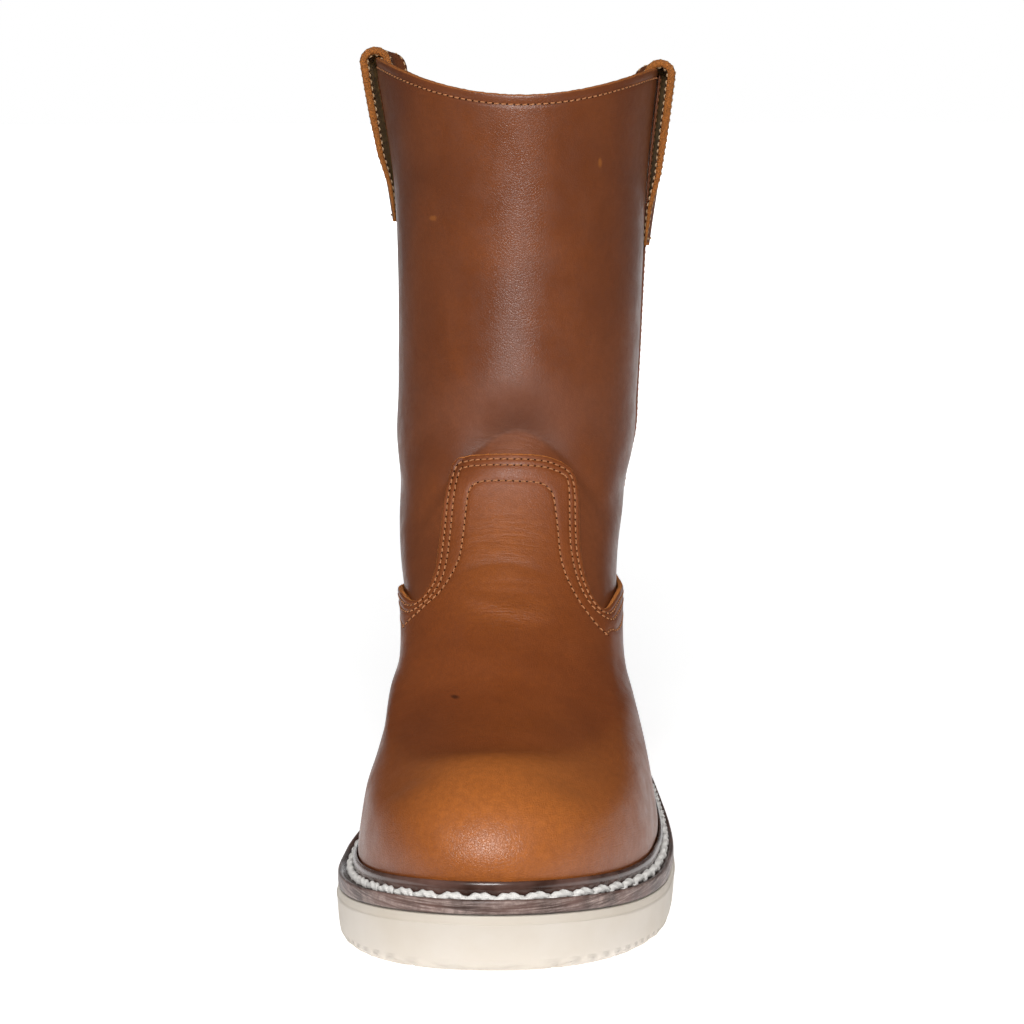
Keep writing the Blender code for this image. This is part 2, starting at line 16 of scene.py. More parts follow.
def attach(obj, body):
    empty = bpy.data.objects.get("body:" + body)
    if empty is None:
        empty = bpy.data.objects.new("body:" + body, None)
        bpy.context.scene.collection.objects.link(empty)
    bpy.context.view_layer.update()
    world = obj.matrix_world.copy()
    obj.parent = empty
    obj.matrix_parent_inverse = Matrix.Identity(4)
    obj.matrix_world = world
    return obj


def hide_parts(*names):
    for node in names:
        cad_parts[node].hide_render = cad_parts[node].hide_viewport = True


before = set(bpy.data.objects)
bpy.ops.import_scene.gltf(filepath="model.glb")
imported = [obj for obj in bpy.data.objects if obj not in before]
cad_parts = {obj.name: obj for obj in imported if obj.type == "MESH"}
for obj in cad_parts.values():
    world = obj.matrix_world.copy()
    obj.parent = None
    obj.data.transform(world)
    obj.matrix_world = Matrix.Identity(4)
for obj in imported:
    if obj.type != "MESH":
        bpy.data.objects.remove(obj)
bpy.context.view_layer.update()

bl_info = {
    "name": "Wellington work boot",
    "version": (1, 0, 0),
    "blender": (4, 5, 0),
    "location": "View3D > Sidebar > Boot",
    "description": "Builds the leather, stitching, welt and sole of a pull-on work boot",
    "category": "Object",
}

BODY = "root"
MM = 0.001
ORIGIN_X = 5.42           # sideways place of the tables' middle line in the frame

# Sole
SOLE_LENGTH = 302.0
BALL_WIDTH = 109.6
HEEL_ARC = 0.13
TOE_ARC = 0.25
TOE_SQUARE = 2.12
TOE_SPRING = 9.0
SPRING_START = 0.66
TREAD_GROOVES = 15
TREAD_DEPTH = 1.4
TREAD_WIDTH = 3.0
TREAD_BOW = 5.0
TREAD_FIRST = 0.75
TREAD_REACH = 0.65

# Upper
UPPER_WALL = 2.0
VAMP_WALL = 2.0
WELT_MARGIN = 8.0
VAMP_GAP = 0.65
VAMP_FOOT_LEVEL = 0.16
INSOLE_CLEARANCE = 0.6
GAP = 0.3
SHAFT_GIRTH = 275.0
TONGUE_FOOT = (-31.0, 44.0)
TONGUE_HEAD = (-25.6, 29.6)
EDGE_SAMPLES = 1441

# Side seams and pull straps
SEAM_TURN = 98.0
SEAM_FOOT_TURN = 107.0
SEAM_WIDTH = 9.0
SEAM_WALL = 0.9
SEAM_GAP = 0.55
SEAM_FOOT_Z = 101.0
SEAM_HEAD_DROP = 1.5
COLLAR_Z = 282.6
STRAP_WIDTH = 30.0
STRAP_WALL = 2.8
STRAP_FOOT_WALL = 0.9
STRAP_BOW_RADIUS = 4.5
STRAP_GAP = 0.45
STRAP_TAIL = 24.0
STRAP_FLARE = 1.2
STRAP_BELLY = 0.8          # outer leg bowed out halfway up
STRAP_FOOT_SHARE = 0.80    # width at the foot, and of the half behind the seam
STRAP_BACK_SHARE = 0.70
STRAP_TURN_IN = 2.2        # back edge turned in, and lower
STRAP_DROOP = 1.0

# Mesh steps of the vamp
BACK_STEPS = 200
TONGUE_STEPS = 120
TONGUE_ROWS = 84
VAMP_ROWS = 90

EDGE_POINTS = 720         # points along the vamp's edge, the third row and the front line
THIRD_ROW_POINTS = 400
FRONT_SAMPLES = 1401
HALVINGS = 40
WELT_LEVELS = 3.0
NORMAL_STEP = 0.01

OUTLINE_COLUMNS = ("share", "medial", "lateral", "drift")
OUTLINE = (
    (0.00, 0.328, 0.328, -0.050),
    (0.12, 0.334, 0.334, -0.050),
    (0.20, 0.330, 0.352, -0.048),
    (0.30, 0.326, 0.380, -0.042),
    (0.40, 0.326, 0.440, -0.034),
    (0.50, 0.364, 0.474, -0.022),
    (0.60, 0.462, 0.496, -0.012),
    (0.68, 0.497, 0.501, -0.009),
    (0.76, 0.496, 0.488, -0.014),
    (0.86, 0.482, 0.470, -0.028),
    (1.00, 0.462, 0.454, -0.047),
)

WEDGE_COLUMNS = ("share", "top")
WEDGE = (
    (0.00, 36.0),
    (0.15, 34.3),
    (0.40, 25.0),
    (0.58, 18.0),
    (0.70, 16.4),
    (0.85, 19.0),
    (1.00, 26.0),
)

# Wedge side with its rounded corners: inset at a height over the bottom or under the top,
# share of the trimmed edge's scallops, and share of the band of painted shade under the welt
SIDE_COLUMNS = ("inset", "from_bottom", "from_top", "scallop", "band")
SIDE = (
    (3.4, 0.0, None, 0.0, 0.0),
    (2.6, 0.15, None, 1.0, 0.0),
    (1.7, 0.8, None, 0.8, 0.0),
    (1.1, 1.9, None, 0.3, 0.0),
    (0.8, 3.4, None, 0.0, 0.0),
    (0.5, 6.5, None, 0.0, 0.0),
    (0.2, None, 4.6, 0.0, 0.0),
    (0.0, None, 3.4, 0.0, 0.0),
    (0.0, None, 2.9, 0.0, 0.15),
    (0.25, None, 2.6, 0.0, 1.0),
    (0.35, None, 2.2, 0.0, 1.0),
    (0.45, None, 0.7, 0.0, 0.8),
    (0.65, None, 0.2, 0.0, 0.8),
    (1.1, None, 0.0, 0.0, 1.0),
)

SCALLOP_HEIGHT = 0.75

# Welt section: inset from the sole edge, or distance out of the vamp, at a height over the wedge,
# how scuffed that part is and how much shade is painted into the corners against the sole and the vamp
WELT_COLUMNS = ("sole_inset", "vamp_out", "up", "scuff", "shade")
WELT = (
    (None, 0.9, 0.3, 0.0, 1.0),
    (0.9, None, 0.3, 0.3, 1.0),
    (0.55, None, 0.55, 1.0, 0.5),
    (0.45, None, 1.2, 1.0, 0.0),
    (0.45, None, 2.8, 1.0, 0.0),
    (0.5, None, 4.1, 1.0, 0.0),
    (0.7, None, 4.65, 0.8, 0.0),
    (1.1, None, 4.9, 0.4, 0.2),
    (1.7, None, 4.7, 0.1, 0.6),
    (2.4, None, 4.3, 0.0, 1.0),
    (3.6, None, 4.3, 0.0, 1.0),
    (None, 2.2, 4.6, 0.0, 1.0),
    (None, 2.15, 5.6, 0.0, 0.6),
    (None, 2.1, 7.0, 0.0, 0.0),
    (None, 2.0, 8.1, 0.0, 0.0),
    (None, 1.7, 9.0, 0.0, 0.0),
    (None, 1.25, 9.7, 0.0, 0.0),
    (None, 0.8, 9.95, 0.0, 0.3),
    (None, 0.4, 9.8, 0.0, 1.0),
    (None, 0.25, 9.2, 0.0, 1.0),
)
WELT_STITCH_OUT = 3.5     # welt cord out of the vamp, and its height over the wedge
WELT_STITCH_UP = 5.0

SECTION_COLUMNS = ("front", "front_z", "back", "back_z", "half", "sway", "lift", "tilt", "foot", "wedge")
SECTIONS = (
    (-0.4659, 26.3, 0.4659, 36.3, 0.4060, 0.0, 0.0, 0.0, 1.00, 1.00),
    (-0.4785, 35.0, 0.4755, 46.0, 0.4252, 0.5, 0.0, 0.0, 1.00, 0.95),
    (-0.4752, 45.0, 0.4788, 56.0, 0.4088, 0.4, 0.0, 0.0, 1.00, 0.80),
    (-0.4503, 54.5, 0.4788, 65.0, 0.3869, 0.0, 0.0, 0.0, 1.00, 0.55),
    (-0.3940, 61.5, 0.4768, 74.0, 0.3668, -1.2, 0.0, 0.0, 0.95, 0.30),
    (-0.3113, 64.0, 0.4719, 83.0, 0.3522, -2.6, 0.0, 0.0, 0.85, 0.12),
    (-0.2219, 68.5, 0.4652, 93.0, 0.3425, -3.0, 0.0, 0.0, 0.68, 0.00),
    (-0.1325, 81.0, 0.4586, 104.0, 0.3531, -4.4, 0.0, 0.0, 0.48, 0.00),
    (-0.0464, 99.0, 0.4536, 117.0, 0.3768, -6.8, 0.0, 0.0, 0.27, 0.00),
    (0.0199, 120.0, 0.4520, 132.0, 0.3969, -6.8, 0.0, 0.0, 0.10, 0.00),
    (0.0530, 142.0, 0.4536, 150.0, 0.4088, -6.0, 0.0, 0.0, 0.00, 0.00),
    (0.0662, 170.0, 0.4586, 174.0, 0.4151, -5.2, 0.0, 0.0, 0.00, 0.00),
    (0.0662, 205.0, 0.4669, 207.0, 0.4234, -4.6, 2.0, 0.0, 0.00, 0.00),
    (0.0563, 240.0, 0.4735, 241.0, 0.4398, -4.5, 5.0, 0.4, 0.00, 0.00),
    (0.0397, 270.6, 0.4785, 272.0, 0.4818, -5.4, 13.5, 2.2, 0.00, 0.00),
)
TOP_LEVEL = len(SECTIONS) - 1.0

# Upper's mesh rows: first level, last level and count, for its outside and its lining
UPPER_ROWS = ((0.0, 6.0, 14), (6.0, 9.4, 26), (9.4, 11.2, 64), (11.2, 13.7, 46), (13.7, TOP_LEVEL, 16))
LINING_ROWS = ((TOP_LEVEL, 9.0, 40), (8.8, 0.0, 30))

# Upper edge of the vamp: turn in degrees and height
EDGE_COLUMNS = ("turn", "height")
EDGE = (
    (-180.0, 107.0),
    (-140.0, 102.5),
    (-112.0, 97.5),
    (-96.0, 94.9),
    (-80.0, 94.7),
    (-68.0, 95.4),
    (-60.0, 95.5),
    (-54.0, 95.0),
    (-49.0, 94.1),
    (-44.5, 93.6),
    (-38.5, 94.6),
    (-34.0, 97.1),
    (-31.0, 100.4),
    (-29.3, 104.2),
    (-28.4, 110.0),
    (-28.0, 118.0),
    (-27.7, 126.0),
    (-27.2, 133.5),
    (-26.4, 138.0),
    (-24.6, 141.0),
    (-20.0, 143.0),
    (-12.0, 144.0),
    (0.0, 144.3),
    (10.0, 144.1),
    (17.0, 143.4),
    (22.5, 142.0),
    (27.5, 140.0),
    (31.0, 137.4),
    (33.0, 133.5),
    (34.3, 127.5),
    (35.4, 120.0),
    (36.6, 113.0),
    (38.2, 107.6),
    (40.2, 102.8),
    (43.0, 98.0),
    (46.5, 93.8),
    (50.0, 91.3),
    (54.0, 90.3),
    (58.5, 91.1),
    (62.0, 92.1),
    (66.0, 93.1),
    (72.0, 93.9),
    (80.0, 94.1),
    (92.0, 94.2),
    (110.0, 96.8),
    (140.0, 102.5),
    (180.0, 107.0),
)

STRAP_COLUMNS = ("name", "side", "foot_z", "top_z")
STRAPS = (
    ("pull_strap_medial", -1, 226.5, 291.6),
    ("pull_strap_lateral", 1, 217.5, 286.6),
)

# Vamp's third stitch row between its two points: turn in degrees and section level
THIRD_ROW_COLUMNS = ("turn", "level")
THIRD_ROW = (
    (-53.0, 6.98),
    (-47.0, 7.18),
    (-40.0, 7.40),
    (-33.5, 7.61),
    (-29.5, 7.74),
    (-25.5, 7.89),
    (-22.5, 8.04),
    (-20.2, 8.19),
    (-18.2, 8.35),
    (-17.0, 8.53),
    (-16.6, 8.72),
    (-16.4, 8.95),
    (-16.2, 9.24),
    (-15.9, 9.42),
    (-15.2, 9.52),
    (-13.5, 9.60),
    (-11.0, 9.65),
    (-6.5, 9.68),
    (0.0, 9.69),
    (6.2, 9.68),
    (12.8, 9.66),
    (16.4, 9.62),
    (19.5, 9.53),
    (21.5, 9.41),
    (23.0, 9.20),
    (24.3, 8.97),
    (25.4, 8.76),
    (26.9, 8.49),
    (29.2, 8.23),
    (32.5, 7.97),
    (37.2, 7.65),
    (43.0, 7.32),
    (48.5, 7.03),
    (52.5, 6.85),
)
THIRD_ROW_IN = 8.4        # distance of the third row from the edge behind its points
THIRD_ROW_TURN = 57.0     # turn, in degrees, where that part of it starts
EDGE_ROWS_IN = (1.9, 4.2)  # distances of the twin rows from the vamp's edge
ROW_CLEAR = 0.94          # least share of that distance that a row keeps at tight corners
COLLAR_ROW_DROP = 2.8     # collar row under the collar's edge

# Parts of the leather that are dull: middle across and along the front line, half sizes and share
DULL_COLUMNS = ("across", "run", "half", "width", "share")
DULL = (
    (3.0, 235.0, 32.0, 12.0, 0.9),
    (2.0, 190.0, 24.0, 24.0, 0.35),
)

# Painted shade in the hollows of the folds: middle across and along the front line, half length, width below
# and above, bend of the ends and share
SHADE_COLUMNS = ("across", "run", "half", "below", "above", "bend", "share")
SHADE = (
    (3.0, 230.2, 34.0, 1.0, 9.0, -46.0, 0.95),
    (1.0, 177.4, 22.0, 0.8, 3.0, -15.0, 0.35),
    (-2.0, 73.0, 40.0, 5.0, 14.0, -30.0, 0.25),
)

# Small worn marks: turn in degrees and height, half sizes, and share of raw leather, dark if negative.
# The reach is a mark's half depth, front to back, so that it meets the leather where folds move it.
WORN_COLUMNS = ("piece", "turn", "height", "wide", "tall", "share")
WORN = (
    ("vamp", -17.5, 72.0, 2.4, 0.7, -0.9),
    ("shaft", 39.5, 247.9, 1.0, 2.4, 0.5),
    ("shaft", -38.0, 228.2, 2.0, 1.4, 0.45),
)
WORN_REACH = 14.0

# Folds of the leather: middle across the boot and along its front line, half length, width,
# bend of the ends, slant, depth, a ridge if positive, and power, 2 for a soft fold and 1 for a sharp one
FOLD_COLUMNS = ("across", "run", "half", "width", "bend", "slant", "depth", "power")
FOLDS = (
    (-2.0, 74.0, 44.0, 9.0, -38.0, 0.0, -1.3, 2),      # dip behind the toe box
    (-5.0, 54.0, 32.0, 13.0, -14.0, 0.0, 0.6, 2),      # crown of the toe box
    (2.0, 150.5, 24.0, 2.6, 0.0, -0.42, -0.36, 2),     # lower wrinkle of the instep
    (2.0, 156.0, 24.0, 3.6, 0.0, -0.40, 0.42, 2),
    (4.0, 145.5, 18.0, 1.8, 0.0, -0.42, -0.16, 2),
    (1.0, 177.0, 22.0, 2.2, -15.0, -0.05, -0.62, 1),   # main crease of the instep
    (1.0, 181.8, 24.0, 3.6, -15.0, -0.05, 0.26, 2),
    (0.0, 171.0, 24.0, 4.2, -12.0, 0.0, 0.20, 2),
    (-3.0, 186.2, 15.0, 1.0, -6.0, 0.06, -0.14, 2),    # small wrinkles over it
    (3.0, 188.6, 17.0, 1.1, -6.5, -0.03, -0.16, 2),
    (-2.0, 191.0, 16.0, 1.0, -4.0, 0.05, -0.13, 2),
    (4.0, 193.6, 15.0, 1.2, -4.5, -0.04, -0.13, 2),
    (0.0, 197.0, 17.0, 1.4, -3.0, 0.03, -0.11, 2),
    (2.0, 163.6, 15.0, 1.1, -2.0, -0.12, -0.18, 2),
    (5.0, 168.0, 14.0, 1.1, -3.0, -0.08, -0.16, 2),
    (3.0, 217.5, 34.0, 6.5, -30.0, 0.0, 1.0, 2),       # soft roll over the tongue
    (3.0, 229.8, 38.0, 8.5, -46.0, 0.0, -3.9, 1.3),    # crease above it
)

# Toe box rounded down beside its middle, and drawn in over the welt
TOE_MIDDLE = -4.0
SHOULDER_ASIDE = 32.0
SHOULDER_WIDTHS = (17.0, 8.0)
SHOULDER_DEPTH = 3.6
SHOULDER_PLACES = (-136.0, -114.0, -72.0, -22.0)
SHOULDER_HEIGHTS = (46.0, 60.0)
DRAWN_IN = 2.8
DRAWN_RUN = 17.0

# Ankle folds on both sides: turn in degrees, height, half length in degrees, width, slant, depth
ANKLE_COLUMNS = ("turn", "height", "half", "width", "slant", "depth")
ANKLE = (
    (82.0, 128.0, 46.0, 7.0, 0.22, -0.8),
    (90.0, 147.0, 40.0, 9.0, 0.16, 0.6),
    (-84.0, 131.0, 44.0, 7.5, -0.22, -0.8),
    (-92.0, 150.0, 40.0, 9.0, -0.14, 0.6),
    (178.0, 140.0, 42.0, 9.0, 0.0, -0.8),
)

# Lightness of the stretched leather along the front line, 0 dark to 1 light
TONE_COLUMNS = ("run", "tone", "half")
TONE = (
    (0.0, 0.40, 40.0),
    (14.0, 0.72, 38.0),
    (30.0, 0.97, 35.0),
    (44.0, 1.00, 32.0),
    (58.0, 0.88, 28.0),
    (64.0, 0.62, 26.0),
    (70.0, 0.30, 25.0),
    (76.0, 0.15, 24.0),
    (90.0, 0.13, 26.0),
    (112.0, 0.15, 26.0),
    (140.0, 0.26, 24.0),
    (160.0, 0.40, 22.0),
    (184.0, 0.44, 20.0),
    (206.0, 0.36, 20.0),
    (222.0, 0.26, 20.0),
    (231.0, 0.10, 24.0),
    (245.0, 0.12, 26.0),
    (360.0, 0.20, 30.0),
)
TONE_BESIDE = 0.12

# Slow waves of the shaft: depth, waves round it, climb with the height and start
SLACK_COLUMNS = ("depth", "waves", "climb", "start")
SLACK = (
    (0.22, 3.0, 0.021, 0.0),
    (0.16, 5.0, -0.034, 1.3),
    (0.14, 2.0, 0.052, 2.1),
)
SLACK_FOOT = 110.0        # height where the waves start, and the rise to where they are full
SLACK_RISE = 60.0

# Rounded edges: collar by distance out and height, vamp by share of its wall and reach,
# and insole by inset and height
COLLAR_RIM = ((-0.12, 0.28), (-0.45, 0.52), (-1.0, 0.62), (-1.55, 0.52), (-1.88, 0.28))
VAMP_RIM = ((0.16, 0.16), (0.38, 0.26), (0.62, 0.26), (0.84, 0.14))
INSOLE_RIM = ((0.0, 0.0), (0.0, 3.0), (0.5, 3.7), (1.6, 4.0), (6.0, 3.8), (14.0, 3.5))
RAGGED = 0.10             # how far a cut edge wavers

# Depth and width of the channels that stitches and the cut edge press into the leather
COLLAR_PULL = (-0.28, 0.8)
VAMP_PULL = (-0.34, 0.75)
EDGE_PULL = (-0.40, 0.45)
COLLAR_PULL_LEVEL = 13.0  # levels over which those channels are looked for
VAMP_PULL_LEVEL = 5.6
VAMP_ROW_LIFT = -0.22     # stitch rows in their channels, and on the seam strips
COLLAR_ROW_LIFT = -0.18
SEAM_ROW_LIFT = 0.02
SEAM_ROW_SHARES = (-0.31, 0.31)
STRAP_MARGINS = {1.0: 3.2, -1.0: 2.1}  # rows in from the edge, on the outer and the flesh side

# Windows of fine wrinkles: middle across, along the front line, half sizes and strength
WRINKLE_COLUMNS = ("across", "run", "half_across", "half_run", "strength")
WRINKLES = (
    (1.0, 187.0, 20.0, 17.0, 1.0),
    (3.0, 153.0, 22.0, 12.0, 1.0),
    (2.0, 225.0, 22.0, 9.0, 0.9),
    (0.0, 84.0, 26.0, 14.0, 0.35),
)


def column(table, columns, name):
    """One named column of a table as an array."""
    return np.array([row[columns.index(name)] for row in table], dtype=float)


def through(at, knots, values):
    """Smooth curve through a table's values, with averaged slopes at its rows."""
    slopes = np.gradient(values, knots)
    at = np.clip(at, knots[0], knots[-1])
    i = np.clip(np.searchsorted(knots, at) - 1, 0, len(knots) - 2)
    step = knots[i + 1] - knots[i]
    t = (at - knots[i]) / step
    rise = values[i + 1] - values[i]
    first = slopes[i] * step
    last = slopes[i + 1] * step
    return values[i] + t * (first + t * ((3 * rise - 2 * first - last) + t * (first + last - 2 * rise)))


def table_curve(at, table, columns, name):
    """Smooth curve through a named column of a table, over its first column."""
    return through(at, column(table, columns, columns[0]), column(table, columns, name))


def length_share(turn):
    """Share of the length from heel (0) to toe (1) at a turn, in radians from the toe."""
    return 0.5 + 0.5 * np.cos(turn)


def wedge_top(share):
    """Height of the wedge's top at a share of the sole's length."""
    return table_curve(share, WEDGE, WEDGE_COLUMNS, "top")


def wedge_bottom(share):
    """Height of the tread: flat, then the toe spring."""
    rise = np.clip((share - SPRING_START) / (1.0 - SPRING_START), 0.0, 1.0)
    return TOE_SPRING * rise ** 2


def sole_share(y):
    """Share of the sole's length at a place along it."""
    return np.clip(0.5 - y / SOLE_LENGTH, 0.0, 1.0)


def sole_edge(turn):
    """Plan of the sole's edge at a turn: x and y."""
    share = length_share(turn)
    lateral = table_curve(share, OUTLINE, OUTLINE_COLUMNS, "lateral")
    medial = table_curve(share, OUTLINE, OUTLINE_COLUMNS, "medial")
    drift = table_curve(share, OUTLINE, OUTLINE_COLUMNS, "drift")
    heel = np.clip(1.0 - share / HEEL_ARC, 0.0, 1.0)
    toe = np.clip(1.0 - (1.0 - share) / TOE_ARC, 0.0, 1.0)
    ends = np.sqrt(1.0 - heel ** 2) * (1.0 - toe ** TOE_SQUARE) ** (1.0 / TOE_SQUARE)
    half = np.where(np.sin(turn) >= 0.0, lateral, -medial) * ends
    return BALL_WIDTH * (half + drift), SOLE_LENGTH * (0.5 - share)


def sole_normal(turn):
    """Outward plan normal of the sole's edge."""
    x0, y0 = sole_edge(turn - NORMAL_STEP)
    x1, y1 = sole_edge(turn + NORMAL_STEP)
    length = np.hypot(x1 - x0, y1 - y0)
    return (y1 - y0) / length, (x0 - x1) / length


def inset_edge(turn, inset):
    """Plan of the sole's edge moved inwards."""
    x, y = sole_edge(turn)
    nx, ny = sole_normal(turn)
    return x - inset * nx, y - inset * ny


def foot_shape(turn):
    """Plan of the feather line on a unit scale: half-widths and share from back to front."""
    base = WELT_MARGIN + VAMP_WALL + GAP
    x, y = inset_edge(turn, base)
    sides = np.radians(np.arange(-180.0, 180.0, 2.0))
    around_x, around_y = inset_edge(sides, base)
    half = 0.5 * (around_x.max() - around_x.min())
    back, front = around_y.max(), around_y.min()
    return x / half, (back - y) / (back - front)


def section(level, name):
    """Value of a section column at a level."""
    return through(level, np.arange(len(SECTIONS), dtype=float), column(SECTIONS, SECTION_COLUMNS, name))


def upper_point(turn, level):
    """Outside of the upper at a turn (radians from the front) and a section level."""
    turn, level = np.broadcast_arrays(np.asarray(turn, float), np.asarray(level, float))
    value = {name: section(level, name) for name in SECTION_COLUMNS}
    foot_x, foot_share = foot_shape(turn)
    oval_x, oval_share = np.sin(turn), length_share(turn)
    foot = np.clip(value["foot"], 0.0, 1.0)
    share = foot * foot_share + (1.0 - foot) * oval_share
    x = value["sway"] + BALL_WIDTH * value["half"] * (foot * foot_x + (1.0 - foot) * oval_x)
    y = SOLE_LENGTH * (value["back"] + (value["front"] - value["back"]) * share)
    z = value["back_z"] + (value["front_z"] - value["back_z"]) * share
    top = wedge_top(sole_share(y))
    chord = wedge_top(0.0) + (wedge_top(1.0) - wedge_top(0.0)) * share
    z = z + value["wedge"] * (top - chord)
    z = z + value["lift"] * np.sin(turn) ** 2 - value["tilt"] * np.sin(turn)
    return np.stack([x, y, z], axis=-1)


def upper_slopes(turn, level):
    """Change of the upper's surface with the turn and with the level."""
    after = upper_point(turn + NORMAL_STEP, level)
    before = upper_point(turn - NORMAL_STEP, level)
    high = np.minimum(level + NORMAL_STEP, TOP_LEVEL)
    low = np.maximum(level - NORMAL_STEP, 0.0)
    rise = (upper_point(turn, high) - upper_point(turn, low)) / (high - low)[..., None]
    return (after - before) / (2.0 * NORMAL_STEP), rise


def unit(vectors):
    """Vectors at length one."""
    return vectors / np.linalg.norm(vectors, axis=-1, keepdims=True)


def upper_normal(turn, level):
    """Outward normal of the upper."""
    turn, level = np.broadcast_arrays(np.asarray(turn, float), np.asarray(level, float))
    sideways, rise = upper_slopes(turn, level)
    return unit(np.cross(sideways, rise))


def upper_offset(turn, level, distance):
    """Upper surface moved out along its normal."""
    distance = np.asarray(distance, float)
    return upper_point(turn, level) + distance[..., None] * upper_normal(turn, level)


def level_at_height(turn, height):
    """Section level where the upper reaches a height at a turn, by halving."""
    low = np.zeros_like(turn)
    high = np.full_like(turn, TOP_LEVEL)
    for _ in range(HALVINGS):
        middle = 0.5 * (low + high)
        under = upper_point(turn, middle)[..., 2] < height
        low = np.where(under, middle, low)
        high = np.where(under, high, middle)
    return 0.5 * (low + high)


def vamp_outside(turn, up):
    """Outside of the vamp at a height over the wedge, by halving."""
    low = np.zeros_like(turn)
    high = np.full_like(turn, WELT_LEVELS)
    for _ in range(HALVINGS):
        middle = 0.5 * (low + high)
        point = on_vamp(turn, middle)[0]
        under = point[..., 2] - wedge_top(sole_share(point[..., 1])) < up
        low = np.where(under, middle, low)
        high = np.where(under, high, middle)
    return on_vamp(turn, low)[0]


def edge_stretch(first, last, steps):
    """Turns and levels, evenly spaced, along the vamp's edge from one turn in degrees to another."""
    turns = np.linspace(first, last, EDGE_SAMPLES)
    heights = table_curve((turns + 180.0) % 360.0 - 180.0, EDGE, EDGE_COLUMNS, "height")
    run = np.hypot(np.diff(np.radians(turns)) * SHAFT_GIRTH / (2.0 * math.pi), np.diff(heights))
    travel = np.concatenate([[0.0], np.cumsum(run)])
    stops = np.linspace(0.0, travel[-1], steps + 1)
    turn = np.radians(np.interp(stops, travel, turns))
    height = np.interp(stops, travel, heights)
    return np.stack([turn, level_at_height(turn, height)], axis=-1)


def tongue_grid(steps, rows):
    """Turns and levels of the tongue, stretched between its foot line and its three edges."""
    left = edge_stretch(TONGUE_FOOT[0], TONGUE_HEAD[0], rows)[:, None]
    right = edge_stretch(TONGUE_FOOT[1], TONGUE_HEAD[1], rows)[:, None]
    head = edge_stretch(*TONGUE_HEAD, steps)[None]
    across = np.linspace(0.0, 1.0, steps + 1)[None, :, None]
    rise = np.linspace(0.0, 1.0, rows + 1)[:, None, None]
    grid = left + across * (right - left)
    return grid + rise * (head - grid[-1:])


def vamp_edge():
    """Turns and levels all along the vamp's upper edge."""
    line = edge_stretch(-180.0, 180.0, EDGE_POINTS)[:-1]
    return line[:, 0], line[:, 1]


def moved_in(turn, level, distance, closed=True):
    """A line on the upper moved sideways on the surface, down into the vamp."""
    steps = 4
    for _ in range(steps):
        place = upper_point(turn, level)
        if closed:
            ahead = np.roll(place, -1, axis=0) - np.roll(place, 1, axis=0)
        else:
            ahead = np.gradient(place, axis=0)
        sideways, rise = upper_slopes(turn, level)
        want = distance / steps * unit(np.cross(unit(ahead), unit(np.cross(sideways, rise))))
        a = np.sum(sideways * sideways, axis=-1)
        b = np.sum(sideways * rise, axis=-1)
        c = np.sum(rise * rise, axis=-1)
        p = np.sum(want * sideways, axis=-1)
        q = np.sum(want * rise, axis=-1)
        scale = a * c - b * b
        turn = turn + (p * c - q * b) / scale
        level = np.clip(level + (q * a - p * b) / scale, 0.0, TOP_LEVEL)
    return turn, level


def shaft_place(side, height, along):
    """Turn and level on the shaft at a side seam, a distance along the girth from it."""
    rise = np.clip((height - SEAM_FOOT_Z) / (COLLAR_Z - SEAM_FOOT_Z), 0.0, 1.0)
    centre = side * np.radians(SEAM_FOOT_TURN + (SEAM_TURN - SEAM_FOOT_TURN) * rise)
    collar = upper_point(centre, TOP_LEVEL)[..., 2]
    level = level_at_height(centre, np.minimum(height, collar))
    ahead = upper_point(centre + NORMAL_STEP, level)
    behind = upper_point(centre - NORMAL_STEP, level)
    pace = np.linalg.norm(ahead - behind, axis=-1) / (2.0 * NORMAL_STEP)
    return centre + along / pace, level


def strap_path(foot_z, top_z, leg_rows, bow_rows, tail_rows):
    """Middle line of a strap's thickness from foot to tail: distance out, height and thickness."""
    inner_out = -(UPPER_WALL + STRAP_GAP + 0.5 * STRAP_WALL)
    outer_out = inner_out + 2.0 * STRAP_BOW_RADIUS
    foot_out = SEAM_GAP + SEAM_WALL + STRAP_GAP + 0.5 * STRAP_FOOT_WALL
    bow_z = top_z - 0.5 * STRAP_WALL - STRAP_BOW_RADIUS
    rise = np.linspace(0.0, 1.0, leg_rows)
    leg_out = foot_out + (outer_out - foot_out) * rise ** STRAP_FLARE + STRAP_BELLY * np.sin(math.pi * rise)
    leg_z = foot_z + (bow_z - foot_z) * rise
    leg_wall = STRAP_FOOT_WALL + (STRAP_WALL - STRAP_FOOT_WALL) * np.minimum(1.5 * rise, 1.0)
    angle = np.linspace(0.0, math.pi, bow_rows)[1:-1]
    bow_out = inner_out + STRAP_BOW_RADIUS * (1.0 + np.cos(angle))
    bow_top = bow_z + STRAP_BOW_RADIUS * np.sin(angle)
    tail_z = np.linspace(bow_z, bow_z - STRAP_TAIL, tail_rows)
    out = np.concatenate([leg_out, bow_out, np.full_like(tail_z, inner_out)])
    z = np.concatenate([leg_z, bow_top, tail_z])
    thickness = np.concatenate([leg_wall, np.full(len(bow_out) + len(tail_z), STRAP_WALL)])
    return out, z, thickness


